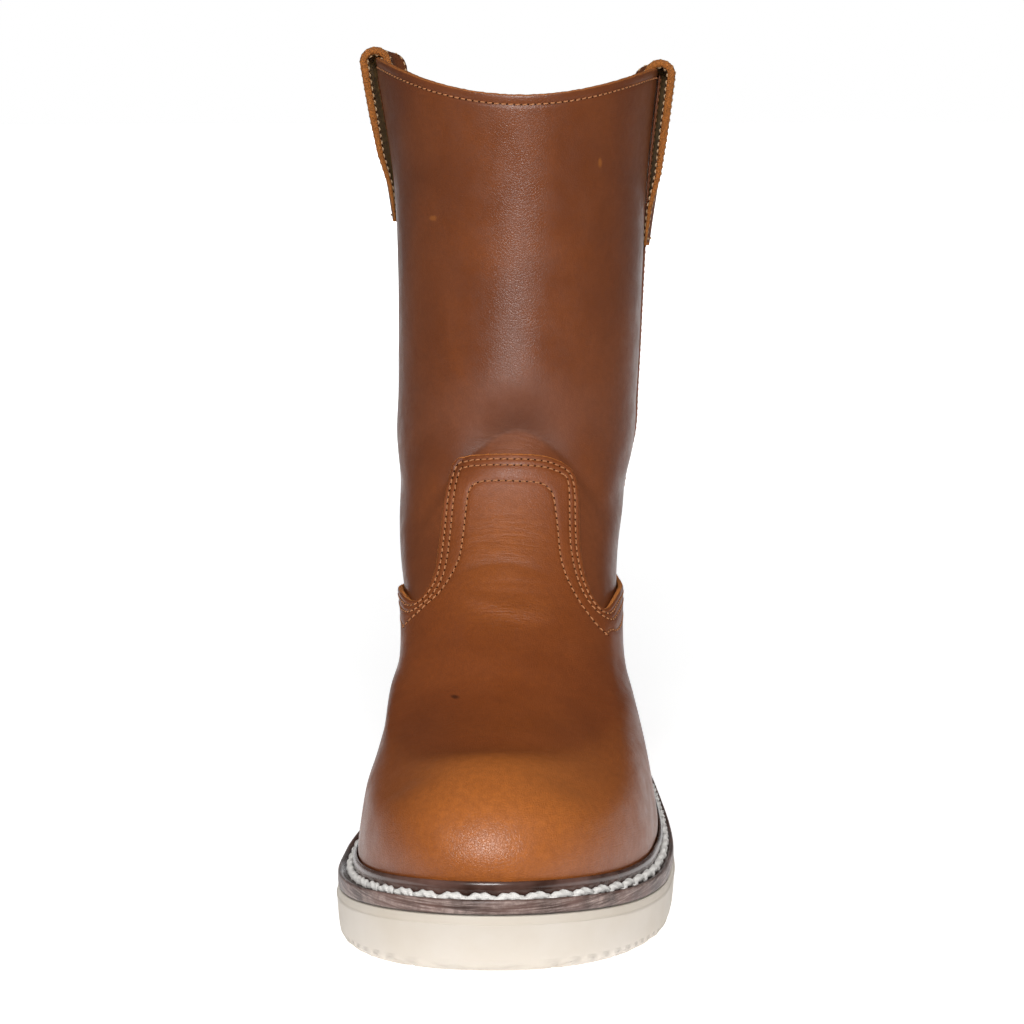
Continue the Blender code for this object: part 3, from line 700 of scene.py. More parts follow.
def strap_frame(side, foot_z, top_z, across, rows):
    """Middle line of a strap at distances across it: points, outward directions and thickness."""
    out, z, thickness = strap_path(foot_z, top_z, *rows)
    d_out, d_z = np.gradient(out), np.gradient(z)
    length = np.hypot(d_out, d_z)
    height, along = np.meshgrid(z, across, indexing="ij")
    along = np.where(side * along > 0.0, STRAP_BACK_SHARE, 1.0) * along
    rise = np.minimum(np.arange(len(z)) / rows[0], 1.0)[:, None]
    foot = np.clip(1.5 * rise, 0.0, 1.0)
    along = along * (STRAP_FOOT_SHARE + (1.0 - STRAP_FOOT_SHARE) * foot * foot * (3.0 - 2.0 * foot))
    beside = np.clip((np.abs(along) - 0.5 * SEAM_WIDTH) / 3.0, 0.0, 1.0) * np.clip(2.1 - 5.0 * rise, 0.0, 1.0)
    behind = np.clip(2.0 * side * along / (STRAP_BACK_SHARE * STRAP_WIDTH), 0.0, 1.0) * rise ** 1.5
    turn, level = shaft_place(side, height, along)
    normal = upper_normal(turn, level)
    normal[..., 2] = 0.0
    normal = unit(normal)
    out_here = out[:, None] - (SEAM_GAP + SEAM_WALL + STRAP_GAP - 0.3) * beside - STRAP_TURN_IN * behind
    points = upper_point(turn, level) + out_here[..., None] * normal
    points[..., 2] = z[:, None] - STRAP_DROOP * behind
    outward = normal * (d_z / length)[:, None, None]
    outward[..., 2] = (-d_out / length)[:, None]
    return points, outward, thickness


def front_run(level):
    """Distance along the boot's front line from the feather line."""
    levels = np.linspace(0.0, TOP_LEVEL, FRONT_SAMPLES)
    line = upper_point(np.zeros_like(levels), levels)
    steps = np.linalg.norm(np.diff(line, axis=0), axis=1)
    return np.interp(level, levels, np.concatenate([[0.0], np.cumsum(steps)]))


def front_place(turn, level):
    """Distance across from the middle line, along the front line, and how far it faces front."""
    across = upper_point(turn, level)[..., 0] - section(level, "sway")
    front = np.clip(1.6 * np.cos(turn), 0.0, 1.0)
    return across, front_run(level), front * front * (3.0 - 2.0 * front)


def rows_of(table, columns):
    """Rows of a table as dictionaries."""
    return [dict(zip(columns, row)) for row in table]


def folds(turn, level):
    """How far the leather stands out of its plain shape, from the tables of folds."""
    across, run, front = front_place(turn, level)
    total = np.zeros_like(run)
    for fold in rows_of(FOLDS, FOLD_COLUMNS):
        aside = across - fold["across"]
        share = aside / fold["half"]
        line = fold["run"] + fold["slant"] * aside + fold["bend"] * share ** 2
        fade = np.clip(1.0 - share ** 2, 0.0, 1.0) ** 2
        away = np.abs((run - line) / fold["width"])
        total += front * fold["depth"] * fade * np.exp(-away ** fold["power"])
    height = upper_point(turn, level)[..., 2]
    for fold in rows_of(ANKLE, ANKLE_COLUMNS):
        aside = np.degrees(np.arctan2(np.sin(turn - math.radians(fold["turn"])),
                                      np.cos(turn - math.radians(fold["turn"]))))
        fade = np.clip(1.0 - (aside / fold["half"]) ** 2, 0.0, 1.0) ** 2
        line = fold["height"] + fold["slant"] * aside
        total += fold["depth"] * fade * np.exp(-((height - line) / fold["width"]) ** 2)
    return total + slack(turn, height) + toe_round(turn, level)


def toe_round(turn, level):
    """How far the toe box is rounded down at its shoulders and drawn in over the welt."""
    place = upper_point(turn, level)
    along = np.interp(place[..., 1], SHOULDER_PLACES, (0.0, 1.0, 1.0, 0.0))
    along = along * np.interp(place[..., 2], SHOULDER_HEIGHTS, (0.0, 1.0))
    aside = np.abs(place[..., 0] - TOE_MIDDLE) - SHOULDER_ASIDE
    aside = aside / np.where(aside < 0.0, *SHOULDER_WIDTHS)
    shoulder = SHOULDER_DEPTH * along * along * (3.0 - 2.0 * along) * np.exp(-aside ** 2)
    front = np.clip(np.cos(turn), 0.0, 1.0)
    return -shoulder - DRAWN_IN * front * np.exp(-(front_run(level) / DRAWN_RUN) ** 2)


def slack(turn, height):
    """Slow waves of hand-cut leather on the shaft, fading towards the sole."""
    fade = np.clip((height - SLACK_FOOT) / SLACK_RISE, 0.0, 1.0)
    total = np.zeros_like(height)
    for wave in rows_of(SLACK, SLACK_COLUMNS):
        total += wave["depth"] * np.sin(wave["waves"] * turn + wave["climb"] * height + wave["start"])
    return fade * total


def tone_of(turn, level):
    """Lightness of the leather: stretched over the toe and instep, darker beside them."""
    across, run, front = front_place(turn, level)
    tone = table_curve(run, TONE, TONE_COLUMNS, "tone")
    half = table_curve(run, TONE, TONE_COLUMNS, "half")
    return TONE_BESIDE + (tone - TONE_BESIDE) * front * np.exp(-(across / half) ** 2)


def wrinkle_of(turn, level):
    """Strength of the fine wrinkles."""
    across, run, front = front_place(turn, level)
    total = np.zeros_like(run)
    for spot in rows_of(WRINKLES, WRINKLE_COLUMNS):
        away = (((across - spot["across"]) / spot["half_across"]) ** 2
                + ((run - spot["run"]) / spot["half_run"]) ** 2)
        total = np.maximum(total, spot["strength"] * np.clip(1.0 - away, 0.0, 1.0) ** 2)
    return total * front


def dull_of(turn, level):
    """How dull the leather is, from the table."""
    across, run, front = front_place(turn, level)
    total = np.zeros_like(run)
    for part in rows_of(DULL, DULL_COLUMNS):
        away = ((across - part["across"]) / part["half"]) ** 2 + ((run - part["run"]) / part["width"]) ** 2
        total += front * part["share"] * np.exp(-away)
    return np.minimum(total, 1.0)


def shade_of(turn, level):
    """How much shade is painted into the hollows of the folds, from the table."""
    across, run, front = front_place(turn, level)
    total = np.zeros_like(run)
    for hollow in rows_of(SHADE, SHADE_COLUMNS):
        aside = (across - hollow["across"]) / hollow["half"]
        away = run - hollow["run"] - hollow["bend"] * aside ** 2
        away = away / np.where(away < 0.0, hollow["below"], hollow["above"])
        total += front * hollow["share"] * np.exp(-aside ** 2 - away ** 2)
    return np.minimum(total, 1.0)


def speck(count, seed, size):
    """Repeatable small random distances."""
    return np.random.default_rng(seed).uniform(-size, size, count)


def groove(points, lines, depth, width):
    """Depth that rows of stitches pull into a surface, by the distance from their lines."""
    marks = np.concatenate(lines)
    tree = KDTree(len(marks))
    for i, mark in enumerate(marks):
        tree.insert(mark, i)
    tree.balance()
    flat = points.reshape(-1, 3)
    away = np.array([tree.find(spot)[2] for spot in flat])
    return (depth * np.exp(-(away / width) ** 2)).reshape(points.shape[:-1])


def dense(points, step, closed):
    """Points of a line, evenly spaced at about a step."""
    line = np.concatenate([points, points[:1]]) if closed else points
    travel = np.concatenate([[0.0], np.cumsum(np.linalg.norm(np.diff(line, axis=0), axis=1))])
    count = max(2, int(round(travel[-1] / step)))
    stops = np.linspace(0.0, travel[-1], count, endpoint=not closed)
    return np.stack([np.interp(stops, travel, line[:, i]) for i in range(3)], axis=-1)


def ring_faces(rings, columns, wrap_rings):
    """Quads of stacked rings, joined from the last ring to the first if wrapped."""
    faces = []
    for row in range(rings if wrap_rings else rings - 1):
        low = row * columns
        high = ((row + 1) % rings) * columns
        for j in range(columns):
            k = (j + 1) % columns
            faces.append((low + j, low + k, high + k, high + j))
    return faces


def ladder_faces(start, columns):
    """Faces that close a ring by rungs from side to side."""
    faces = []
    for j in range(columns // 2):
        rung = (j, j + 1, columns - j - 1, (columns - j) % columns)
        faces.append(tuple(dict.fromkeys(start + i for i in rung)))
    return faces


def stack_faces(rings, columns):
    """Faces of stacked rings with both ends closed."""
    ends = ladder_faces(0, columns) + ladder_faces((rings - 1) * columns, columns)
    return ring_faces(rings, columns, False) + ends


def in_frame(points):
    """Points of the boot's own sizes as places in the frame."""
    return MM * (np.asarray(points).reshape(-1, 3) + (ORIGIN_X, 0.0, 0.0))


def face_out(mesh):
    """Faces of a closed mesh turned outwards."""
    shell = bmesh.new()
    shell.from_mesh(mesh)
    bmesh.ops.recalc_face_normals(shell, faces=shell.faces)
    shell.to_mesh(mesh)
    shell.free()


def smooth(mesh):
    """Mesh shaded smooth."""
    mesh.polygons.foreach_set("use_smooth", np.ones(len(mesh.polygons), bool))


def linked(name, mesh):
    """New object of a mesh, in the scene."""
    made = bpy.data.objects.new(name, mesh)
    bpy.context.scene.collection.objects.link(made)
    return made


def applied(made, modifier):
    """Mesh of an object with its modifier worked in and taken off."""
    depsgraph = bpy.context.evaluated_depsgraph_get()
    mesh = bpy.data.meshes.new_from_object(made.evaluated_get(depsgraph))
    made.modifiers.remove(modifier)
    made.data = mesh
    return mesh


def make_piece(name, points, faces, materials, marks=None, face_slots=None):
    """Smooth closed mesh object from points in millimetres, with its marks as attributes."""
    mesh = bpy.data.meshes.new(name)
    mesh.from_pydata(in_frame(points).tolist(), [], faces)
    for label, values in (marks or {}).items():
        mark = mesh.attributes.new(label, "FLOAT", "POINT")
        mark.data.foreach_set("value", np.asarray(values, np.float32).ravel())
    if face_slots is not None:
        mesh.polygons.foreach_set("material_index", np.asarray(face_slots, np.int32))
    face_out(mesh)
    smooth(mesh)
    for material in materials:
        mesh.materials.append(material)
    return linked(name, mesh)


def put_on(piece, slot, *nodes):
    """Piece on the boot's body, with the nodes that it stands for hidden. The slot is not used."""
    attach(piece, BODY)
    if nodes:
        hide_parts(*nodes)


class Finish:
    """A material under construction: its node tree with short calls for its nodes."""

    def __init__(self, name):
        self.material = bpy.data.materials.new(name)
        self.material.use_nodes = True
        self.tree = self.material.node_tree
        self.shader = self.tree.nodes["Principled BSDF"]
        self.place = self.node("ShaderNodeTexCoord").outputs["Object"]

    def node(self, kind, **settings):
        """New node with its settings."""
        made = self.tree.nodes.new(kind)
        for key, value in settings.items():
            setattr(made, key, value)
        return made

    def put(self, socket, value):
        """Link an output, or set a constant, on an input."""
        if isinstance(value, bpy.types.NodeSocket):
            self.tree.links.new(value, socket)
        elif hasattr(value, "__len__") and len(value) == 3 and socket.type == "RGBA":
            socket.default_value = (*value, 1.0)
        else:
            socket.default_value = value

    def set(self, **values):
        """Values of the shader's sockets, by their names with underscores."""
        for key, value in values.items():
            self.put(self.shader.inputs[key.replace("_", " ")], value)

    def mark(self, name):
        """Value of one of the piece's attributes."""
        return self.node("ShaderNodeAttribute", attribute_name=name).outputs["Fac"]

    def stretched(self, scale):
        """Object place scaled by a different amount along each axis."""
        mapping = self.node("ShaderNodeMapping")
        self.put(mapping.inputs["Vector"], self.place)
        mapping.inputs["Scale"].default_value = scale
        return mapping.outputs["Vector"]

    def noise(self, scale, detail=3.0, rough=0.55, place=None, distortion=0.0):
        """Noise over the object's place."""
        made = self.node("ShaderNodeTexNoise")
        self.put(made.inputs["Vector"], place or self.place)
        made.inputs["Scale"].default_value = scale
        made.inputs["Detail"].default_value = detail
        made.inputs["Roughness"].default_value = rough
        made.inputs["Distortion"].default_value = distortion
        return made.outputs["Fac"]

    def cells(self, scale):
        """Cells of leather grain over the object's place."""
        made = self.node("ShaderNodeTexVoronoi", feature="DISTANCE_TO_EDGE")
        self.put(made.inputs["Vector"], self.place)
        made.inputs["Scale"].default_value = scale
        return made.outputs["Distance"]

    def spot(self, place, size):
        """Share of a small soft spot round a place."""
        away = self.node("ShaderNodeVectorMath", operation="SUBTRACT")
        self.put(away.inputs[0], self.place)
        away.inputs[1].default_value = place
        scaled = self.node("ShaderNodeVectorMath", operation="DIVIDE")
        self.put(scaled.inputs[0], away.outputs["Vector"])
        scaled.inputs[1].default_value = size
        length = self.node("ShaderNodeVectorMath", operation="LENGTH")
        self.put(length.inputs[0], scaled.outputs["Vector"])
        return self.ramp(length.outputs["Value"], 0.25, 1.0, 1.0, 0.0)

    def ramp(self, value, low, high, to_low=0.0, to_high=1.0):
        """Value stretched from one range to another."""
        made = self.node("ShaderNodeMapRange", interpolation_type="SMOOTHSTEP")
        self.put(made.inputs["Value"], value)
        made.inputs["From Min"].default_value = low
        made.inputs["From Max"].default_value = high
        made.inputs["To Min"].default_value = to_low
        made.inputs["To Max"].default_value = to_high
        return made.outputs["Result"]

    def sum(self, first, second, operation="ADD"):
        """Two values put together."""
        made = self.node("ShaderNodeMath", operation=operation)
        self.put(made.inputs[0], first)
        self.put(made.inputs[1], second)
        return made.outputs["Value"]

    def mix(self, share, first, second):
        """Two colours mixed by a share."""
        made = self.node("ShaderNodeMix", data_type="RGBA")
        self.put(made.inputs[0], share)
        self.put(made.inputs[6], first)
        self.put(made.inputs[7], second)
        return made.outputs[2]

    def bump(self, height, strength, distance, before=None):
        """Surface relief from a height."""
        made = self.node("ShaderNodeBump")
        made.inputs["Strength"].default_value = strength
        made.inputs["Distance"].default_value = distance
        self.put(made.inputs["Height"], height)
        if before is not None:
            self.put(made.inputs["Normal"], before)
        return made.outputs["Normal"]


def lighter(colour, times):
    """Colour made lighter, or darker where times is under 1."""
    return [min(1.0, times * value) for value in colour]


def worn_places(piece):
    """Places, sizes and shares of a piece's small worn marks."""
    places = []
    for mark in rows_of(WORN, WORN_COLUMNS):
        if mark["piece"] == piece:
            turn = np.radians([mark["turn"]])
            place = in_frame(upper_point(turn, level_at_height(turn, np.array([mark["height"]]))))[0]
            places.append((place, (MM * mark["wide"], MM * WORN_REACH, MM * mark["tall"]), mark["share"]))
    return places


def leather(name, dark, base, light, raw, roughness, gloss, grain_depth=1.0, worn=()):
    """Oiled full-grain leather: mottled colour, light where stretched, pores, wrinkles, raw cut edges."""
    made = Finish(name)
    mottle = made.ramp(made.noise(26.0, 4.0, 0.6, distortion=0.4), 0.30, 0.72)
    colour = made.mix(mottle, dark, base)
    cloud = made.noise(9.0, 3.0)
    tone = made.sum(made.mark("tone"), made.ramp(cloud, 0.35, 0.7, -0.06, 0.06))
    colour = made.mix(made.ramp(tone, 0.02, 1.0), colour, light)
    # Painted shade: the hollows of the folds are darkened towards the dark leather
    shade = made.sum(made.mark("shade"), 0.6, "MULTIPLY")
    colour = made.mix(shade, colour, lighter(dark, 0.45))
    pores = made.ramp(made.cells(1150.0), 0.0, 0.18)
    colour = made.mix(made.ramp(pores, 0.0, 1.0, 0.16, 0.0), colour, dark)
    grain = made.ramp(made.noise(480.0, 5.0, 0.72), 0.30, 0.70, 0.0, 0.34)
    colour = made.mix(grain, colour, lighter(dark, 0.82))
    scuff = made.ramp(made.noise(55.0, 5.0, 0.7, made.stretched((1.0, 1.0, 0.35))), 0.68, 0.80, 0.0, 0.35)
    colour = made.mix(scuff, colour, light)
    for place, size, share in worn:
        mark = made.sum(made.spot(place, size), abs(share), "MULTIPLY")
        colour = made.mix(mark, colour, raw if share > 0.0 else lighter(dark, 0.25))
    fuzz = made.ramp(made.noise(1500.0, 3.0, 0.7), 0.3, 0.7)
    edge = made.mix(fuzz, raw, lighter(raw, 1.6))
    cut = made.ramp(made.mark("raw"), 0.25, 0.75)
    colour = made.mix(cut, colour, edge)
    crack = made.noise(1.0, 4.0, 0.62, made.stretched((110.0, 950.0, 950.0)), 0.3)
    lines = made.sum(made.ramp(crack, 0.36, 0.60), made.mark("wrinkle"), "MULTIPLY")
    colour = made.mix(made.sum(lines, 0.16, "MULTIPLY"), colour, light)
    made.set(Base_Color=colour)
    dull = made.ramp(made.noise(120.0, 4.0, 0.65), 0.3, 0.7, roughness - 0.05, roughness + 0.07)
    dull = made.sum(dull, made.sum(made.mark("dull"), 0.5, "MULTIPLY"))
    made.set(Roughness=made.sum(dull, made.sum(cut, 0.42, "MULTIPLY")))
    relief = made.bump(made.noise(500.0, 5.0, 0.66, distortion=0.9), 0.22 * grain_depth, 0.0006)
    relief = made.bump(pores, 0.30 * grain_depth, 0.00025, relief)
    relief = made.bump(lines, 0.30, 0.0005, relief)
    relief = made.bump(made.sum(fuzz, cut, "MULTIPLY"), 0.6, 0.0006, relief)
    made.set(Normal=relief, Specular_IOR_Level=gloss)
    return made.material


def suede(name, base, light, raw):
    """Napped flesh side of leather with raw cut edges."""
    made = Finish(name)
    nap = made.ramp(made.noise(700.0, 5.0, 0.75), 0.25, 0.75)
    cloud = made.ramp(made.noise(40.0, 4.0, 0.6), 0.3, 0.7)
    colour = made.mix(cloud, base, light)
    colour = made.mix(made.ramp(nap, 0.0, 1.0, 0.0, 0.3), colour, light)
    fuzz = made.ramp(made.noise(1400.0, 4.0, 0.75), 0.28, 0.72)
    edge = made.mix(fuzz, raw, lighter(raw, 1.75))
    cut = made.ramp(made.mark("raw"), 0.25, 0.75)
    colour = made.mix(cut, colour, edge)
    made.set(Base_Color=colour, Roughness=0.92, Specular_IOR_Level=0.2)
    made.set(Sheen_Weight=0.05, Sheen_Roughness=0.5)
    relief = made.bump(nap, 0.35, 0.0005)
    made.set(Normal=made.bump(made.sum(fuzz, cut, "MULTIPLY"), 0.7, 0.0008, relief))
    return made.material


def welt_finish(name, dark, brown, grey):
    """Polished welt strip whose cut edge is scuffed in streaks along the sole."""
    made = Finish(name)
    streak = made.noise(1.0, 5.0, 0.7, made.stretched((55.0, 55.0, 1300.0)))
    fleck = made.noise(330.0, 5.0, 0.7)
    worn = made.sum(made.ramp(streak, 0.38, 0.66), made.ramp(fleck, 0.30, 0.70, 0.25, 1.0), "MULTIPLY")
    worn = made.sum(worn, made.mark("scuff"), "MULTIPLY")
    colour = made.mix(made.ramp(made.noise(60.0), 0.3, 0.7), dark, brown)
    colour = made.mix(worn, colour, grey)
    # Painted shade: the welt's corners against the sole and the vamp are darkened
    shade = made.ramp(made.mark("shade"), 0.0, 1.0, 0.0, 0.6)
    colour = made.mix(shade, colour, lighter(dark, 0.3))
    made.set(Base_Color=colour, Coat_Weight=0.25, Coat_Roughness=0.22)
    made.set(Roughness=made.ramp(made.mark("scuff"), 0.0, 1.0, 0.27, 0.62))
    relief = made.bump(worn, 0.3, 0.0005)
    made.set(Normal=made.bump(made.noise(240.0, 4.0), 0.10, 0.0005, relief))
    return made.material


def rubber(name, base, warm, grime):
    """Matte cream rubber, a little mottled, with a line of painted shade under the welt and a fine tread."""
    made = Finish(name)
    cloud = made.ramp(made.noise(30.0, 4.0, 0.6), 0.3, 0.72)
    colour = made.mix(made.sum(cloud, 0.55, "MULTIPLY"), base, warm)
    # Painted shade: the band under the welt takes more of the warmer, darker cream
    colour = made.mix(made.sum(made.mark("band"), 0.42, "MULTIPLY"), colour, warm)
    speckle = made.ramp(made.noise(260.0, 5.0, 0.75), 0.66, 0.74)
    dirt = made.sum(speckle, made.mark("tread"), "MULTIPLY")
    colour = made.mix(made.sum(dirt, 0.8, "MULTIPLY"), colour, grime)
    made.set(Base_Color=colour, Specular_IOR_Level=0.35)
    made.set(Roughness=made.ramp(made.noise(90.0), 0.3, 0.7, 0.55, 0.72))
    wave = made.node("ShaderNodeTexWave", bands_direction="Y")
    made.put(wave.inputs["Vector"], made.place)
    wave.inputs["Scale"].default_value = 62.0
    wave.inputs["Distortion"].default_value = 1.2
    ribs = made.sum(wave.outputs["Fac"], made.mark("tread"), "MULTIPLY")
    relief = made.bump(made.noise(330.0, 4.0, 0.6), 0.10, 0.0006)
    made.set(Normal=made.bump(ribs, 0.7, 0.0012, relief))
    return made.material


def thread(name, base, light):
    """Waxed stitching thread with its twist."""
    made = Finish(name)
    strand = made.ramp(made.noise(1900.0, 3.0, 0.6), 0.3, 0.7)
    cloud = made.ramp(made.noise(70.0, 2.0), 0.3, 0.7)
    colour = made.mix(strand, base, light)
    made.set(Base_Color=made.mix(made.sum(cloud, 0.35, "MULTIPLY"), colour, base))
    made.set(Roughness=0.68, Specular_IOR_Level=0.35, Normal=made.bump(strand, 0.4, 0.0003))
    return made.material


def hole_shade(name, dark):
    """Dark flat pit: painted shade where a needle has left a hole."""
    made = Finish(name)
    made.set(Base_Color=made.mix(made.noise(900.0), dark, lighter(dark, 0.5)))
    made.set(Roughness=0.9, Specular_IOR_Level=0.1)
    return made.material


def lining_finish(name, base, light):
    """Soft split-leather lining."""
    made = Finish(name)
    nap = made.ramp(made.noise(600.0, 5.0, 0.7), 0.28, 0.74)
    cloud = made.ramp(made.noise(22.0, 4.0, 0.6), 0.3, 0.7)
    colour = made.mix(made.sum(nap, 0.4, "MULTIPLY"), base, light)
    made.set(Base_Color=made.mix(made.sum(cloud, 0.35, "MULTIPLY"), colour, light))
    made.set(Roughness=0.9, Specular_IOR_Level=0.2, Normal=made.bump(nap, 0.3, 0.0005))
    return made.material


def shared(name, maker, *values):
    """A material made once and used again."""
    return bpy.data.materials.get(name) or maker(name, *values)


def shaft_skin(looks):
    """Leather of the shaft and its seam strips."""
    return shared("shaft_leather_finish", leather, looks.shaft_dark[:], looks.shaft_base[:],
                  looks.shaft_light[:], looks.raw_edge[:], 0.36, 0.6, 0.58, worn_places("shaft"))


def stitch_tree():
    """Node tree that sets a stitch at even steps along lines that know the surface's direction."""
    found = bpy.data.node_groups.get("stitch_row")
    if found:
        return found
    tree = bpy.data.node_groups.new("stitch_row", "GeometryNodeTree")
    given_sockets = {"Lines": "Geometry", "Stitch": "Object", "Pitch": "Float", "Slant": "Float",
                     "Spread": "Float", "Seed": "Int", "Material": "Material"}
    for name, kind in given_sockets.items():
        tree.interface.new_socket(name, in_out="INPUT", socket_type="NodeSocket" + kind)
    tree.interface.new_socket("Stitches", in_out="OUTPUT", socket_type="NodeSocketGeometry")

    def node(kind, **settings):
        """New node with its settings."""
        made = tree.nodes.new(kind)
        for key, value in settings.items():
            setattr(made, key, value)
        return made

    link = tree.links.new
    given = node("NodeGroupInput").outputs
    curve = node("GeometryNodeMeshToCurve")
    link(given["Lines"], curve.inputs["Mesh"])
    even = node("GeometryNodeResampleCurve", mode="LENGTH")
    link(curve.outputs["Curve"], even.inputs["Curve"])
    link(given["Pitch"], even.inputs["Length"])
    out = node("GeometryNodeInputNamedAttribute", data_type="FLOAT_VECTOR")
    out.inputs["Name"].default_value = "out"
    tangent = node("GeometryNodeInputTangent")
    stand = node("FunctionNodeAlignRotationToVector", axis="Z")
    link(out.outputs["Attribute"], stand.inputs["Vector"])
    lay = node("FunctionNodeAlignRotationToVector", axis="X", pivot_axis="Z")
    link(stand.outputs["Rotation"], lay.inputs["Rotation"])
    link(tangent.outputs["Tangent"], lay.inputs["Vector"])
    swing = node("FunctionNodeRandomValue", data_type="FLOAT")
    lower = node("ShaderNodeMath", operation="SUBTRACT")
    link(given["Slant"], lower.inputs[0])
    link(given["Spread"], lower.inputs[1])
    upper = node("ShaderNodeMath", operation="ADD")
    link(given["Slant"], upper.inputs[0])
    link(given["Spread"], upper.inputs[1])
    numbers = [socket for socket in swing.inputs if socket.type == "VALUE"]
    link(lower.outputs["Value"], numbers[0])
    link(upper.outputs["Value"], numbers[1])
    link(given["Seed"], swing.inputs["Seed"])
    value = next(socket for socket in swing.outputs if socket.type == "VALUE")
    angle = node("ShaderNodeCombineXYZ")
    link(value, angle.inputs["Z"])
    euler = node("FunctionNodeEulerToRotation")
    link(angle.outputs["Vector"], euler.inputs["Euler"])
    turned = node("FunctionNodeRotateRotation", rotation_space="LOCAL")
    link(lay.outputs["Rotation"], turned.inputs["Rotation"])
    link(euler.outputs["Rotation"], turned.inputs["Rotate By"])
    shape = node("GeometryNodeObjectInfo")
    link(given["Stitch"], shape.inputs["Object"])
    rows = node("GeometryNodeInstanceOnPoints")
    link(even.outputs["Curve"], rows.inputs["Points"])
    link(shape.outputs["Geometry"], rows.inputs["Instance"])
    link(turned.outputs["Rotation"], rows.inputs["Rotation"])
    real = node("GeometryNodeRealizeInstances")
    link(rows.outputs["Instances"], real.inputs["Geometry"])
    paint = node("GeometryNodeSetMaterial")
    link(real.outputs["Geometry"], paint.inputs["Geometry"])
    link(given["Material"], paint.inputs["Material"])
    link(paint.outputs["Geometry"], node("NodeGroupOutput").inputs["Stitches"])
    return tree


def stitch_rows(name, lines, stitch, pitch, material, slant=0.0, spread=0.0, seed=1):
    """Stitches along lines of points and outward directions, as one plain mesh object."""
    points, ways, edges = [], [], []
    for spots, outward, closed in lines:
        start, count = len(points), len(spots)
        points.extend(in_frame(spots).tolist())
        ways.extend(outward.tolist())
        edges += [(start + i, start + i + 1) for i in range(count - 1)]
        if closed:
            edges.append((start + count - 1, start))
    guide = bpy.data.meshes.new(name + "_lines")
    guide.from_pydata(points, edges, [])
    mark = guide.attributes.new("out", "FLOAT_VECTOR", "POINT")
    mark.data.foreach_set("vector", np.array(ways, np.float32).ravel())
    made = linked(name, guide)
    tree = stitch_tree()
    rows = made.modifiers.new("stitch_row", "NODES")
    rows.node_group = tree
    given = {"Stitch": stitch, "Pitch": pitch, "Slant": slant, "Spread": spread, "Seed": seed,
             "Material": material}
    for socket in tree.interface.items_tree:
        if socket.item_type == "SOCKET" and socket.in_out == "INPUT" and socket.name in given:
            rows[socket.identifier] = given[socket.name]
    mesh = applied(made, rows)
    bpy.data.meshes.remove(guide)
    mesh.name = name
    if not len(mesh.polygons):
        raise RuntimeError(name + " came out empty")
    smooth(mesh)
    return made


def stitch_shape(name, length, radius, rise, rings, sides, twist=0.0, lobes=0.0, pinch=0.5, ahead=0.0):
    """Closed stitch along X: bowed up in its middle, its ends sunk, with the twist of its plies."""
    along = np.linspace(-1.0, 1.0, rings)
    points = []
    for t in along:
        size = radius * (1.0 - (1.0 - pinch) * abs(t) ** 3)
        height = rise * (1.0 - t * t) - radius * 0.7 * t * t
        for j in range(sides):
            angle = 2.0 * math.pi * j / sides
            plies = 1.0 + lobes * math.cos(2.0 * (angle - twist * t))
            points.append((ahead + 0.5 * length * t, size * plies * math.cos(angle),
                           height + size * plies * math.sin(angle)))
    faces = ring_faces(rings, sides, False)
    faces.append(tuple(reversed(range(sides))))
    faces.append(tuple((rings - 1) * sides + j for j in range(sides)))
    mesh = bpy.data.meshes.new(name)
    mesh.from_pydata([[MM * value for value in point] for point in points], [], faces)
    face_out(mesh)
    return bpy.data.objects.new(name, mesh)


def on_vamp(turn, level, lift=0.0):
    """Points on the dressed outside of the vamp with their outward directions."""
    distance = VAMP_GAP + VAMP_WALL + folds(turn, level) + lift
    return upper_offset(turn, level, distance), upper_normal(turn, level)


def on_shaft(turn, level, lift=0.0):
    """Points on the dressed outside of the shaft with their outward directions."""
    return upper_offset(turn, level, folds(turn, level) + lift), upper_normal(turn, level)


def row_inside(inward):
    """Turns and levels of a line inside the vamp's edge, without loops at tight corners."""
    turn, level = vamp_edge()
    edge = dense(upper_point(turn, level), 0.4, True)
    turn, level = moved_in(turn, level, inward)
    away = groove(upper_point(turn, level), [edge], 1.0, inward)
    keep = (away < math.exp(-ROW_CLEAR ** 2)) & (turn < turn[0] + 2.0 * math.pi)
    return turn[keep], level[keep]


def twin_rows():
    """Turns and levels of the twin stitch rows inside the vamp's edge."""
    return [row_inside(inward) for inward in EDGE_ROWS_IN]


def third_row():
    """Turns and levels of the third stitch row: its front part and its part round the back."""
    ends = column(THIRD_ROW, THIRD_ROW_COLUMNS, "turn")[[0, -1]]
    turn = np.linspace(*ends, THIRD_ROW_POINTS)
    level = table_curve(turn, THIRD_ROW, THIRD_ROW_COLUMNS, "level")
    back_turn, back_level = row_inside(THIRD_ROW_IN)
    order = np.argsort(np.mod(back_turn, 2.0 * math.pi))
    back_turn, back_level = np.mod(back_turn, 2.0 * math.pi)[order], back_level[order]
    limit = math.radians(THIRD_ROW_TURN)
    keep = (back_turn > limit) & (back_turn < 2.0 * math.pi - limit)
    back_turn, back_level = back_turn[keep], back_level[keep]
    back_turn = np.concatenate([[math.radians(turn[-1])], back_turn, [2.0 * math.pi + math.radians(turn[0])]])
    back_level = np.concatenate([[level[-1]], back_level, [level[0]]])
    return (np.radians(turn), level), (back_turn, back_level)


def collar_row():
    """Turns and levels of the stitch row under the collar's edge."""
    turn = np.linspace(-math.pi, math.pi, 480, endpoint=False)
    height = upper_point(turn, TOP_LEVEL)[..., 2] - COLLAR_ROW_DROP
    return turn, level_at_height(turn, height)


def length_property(name, description, default):
    """Length that a user would change, in metres."""
    return FloatProperty(name=name, description=description, default=default, unit="LENGTH")


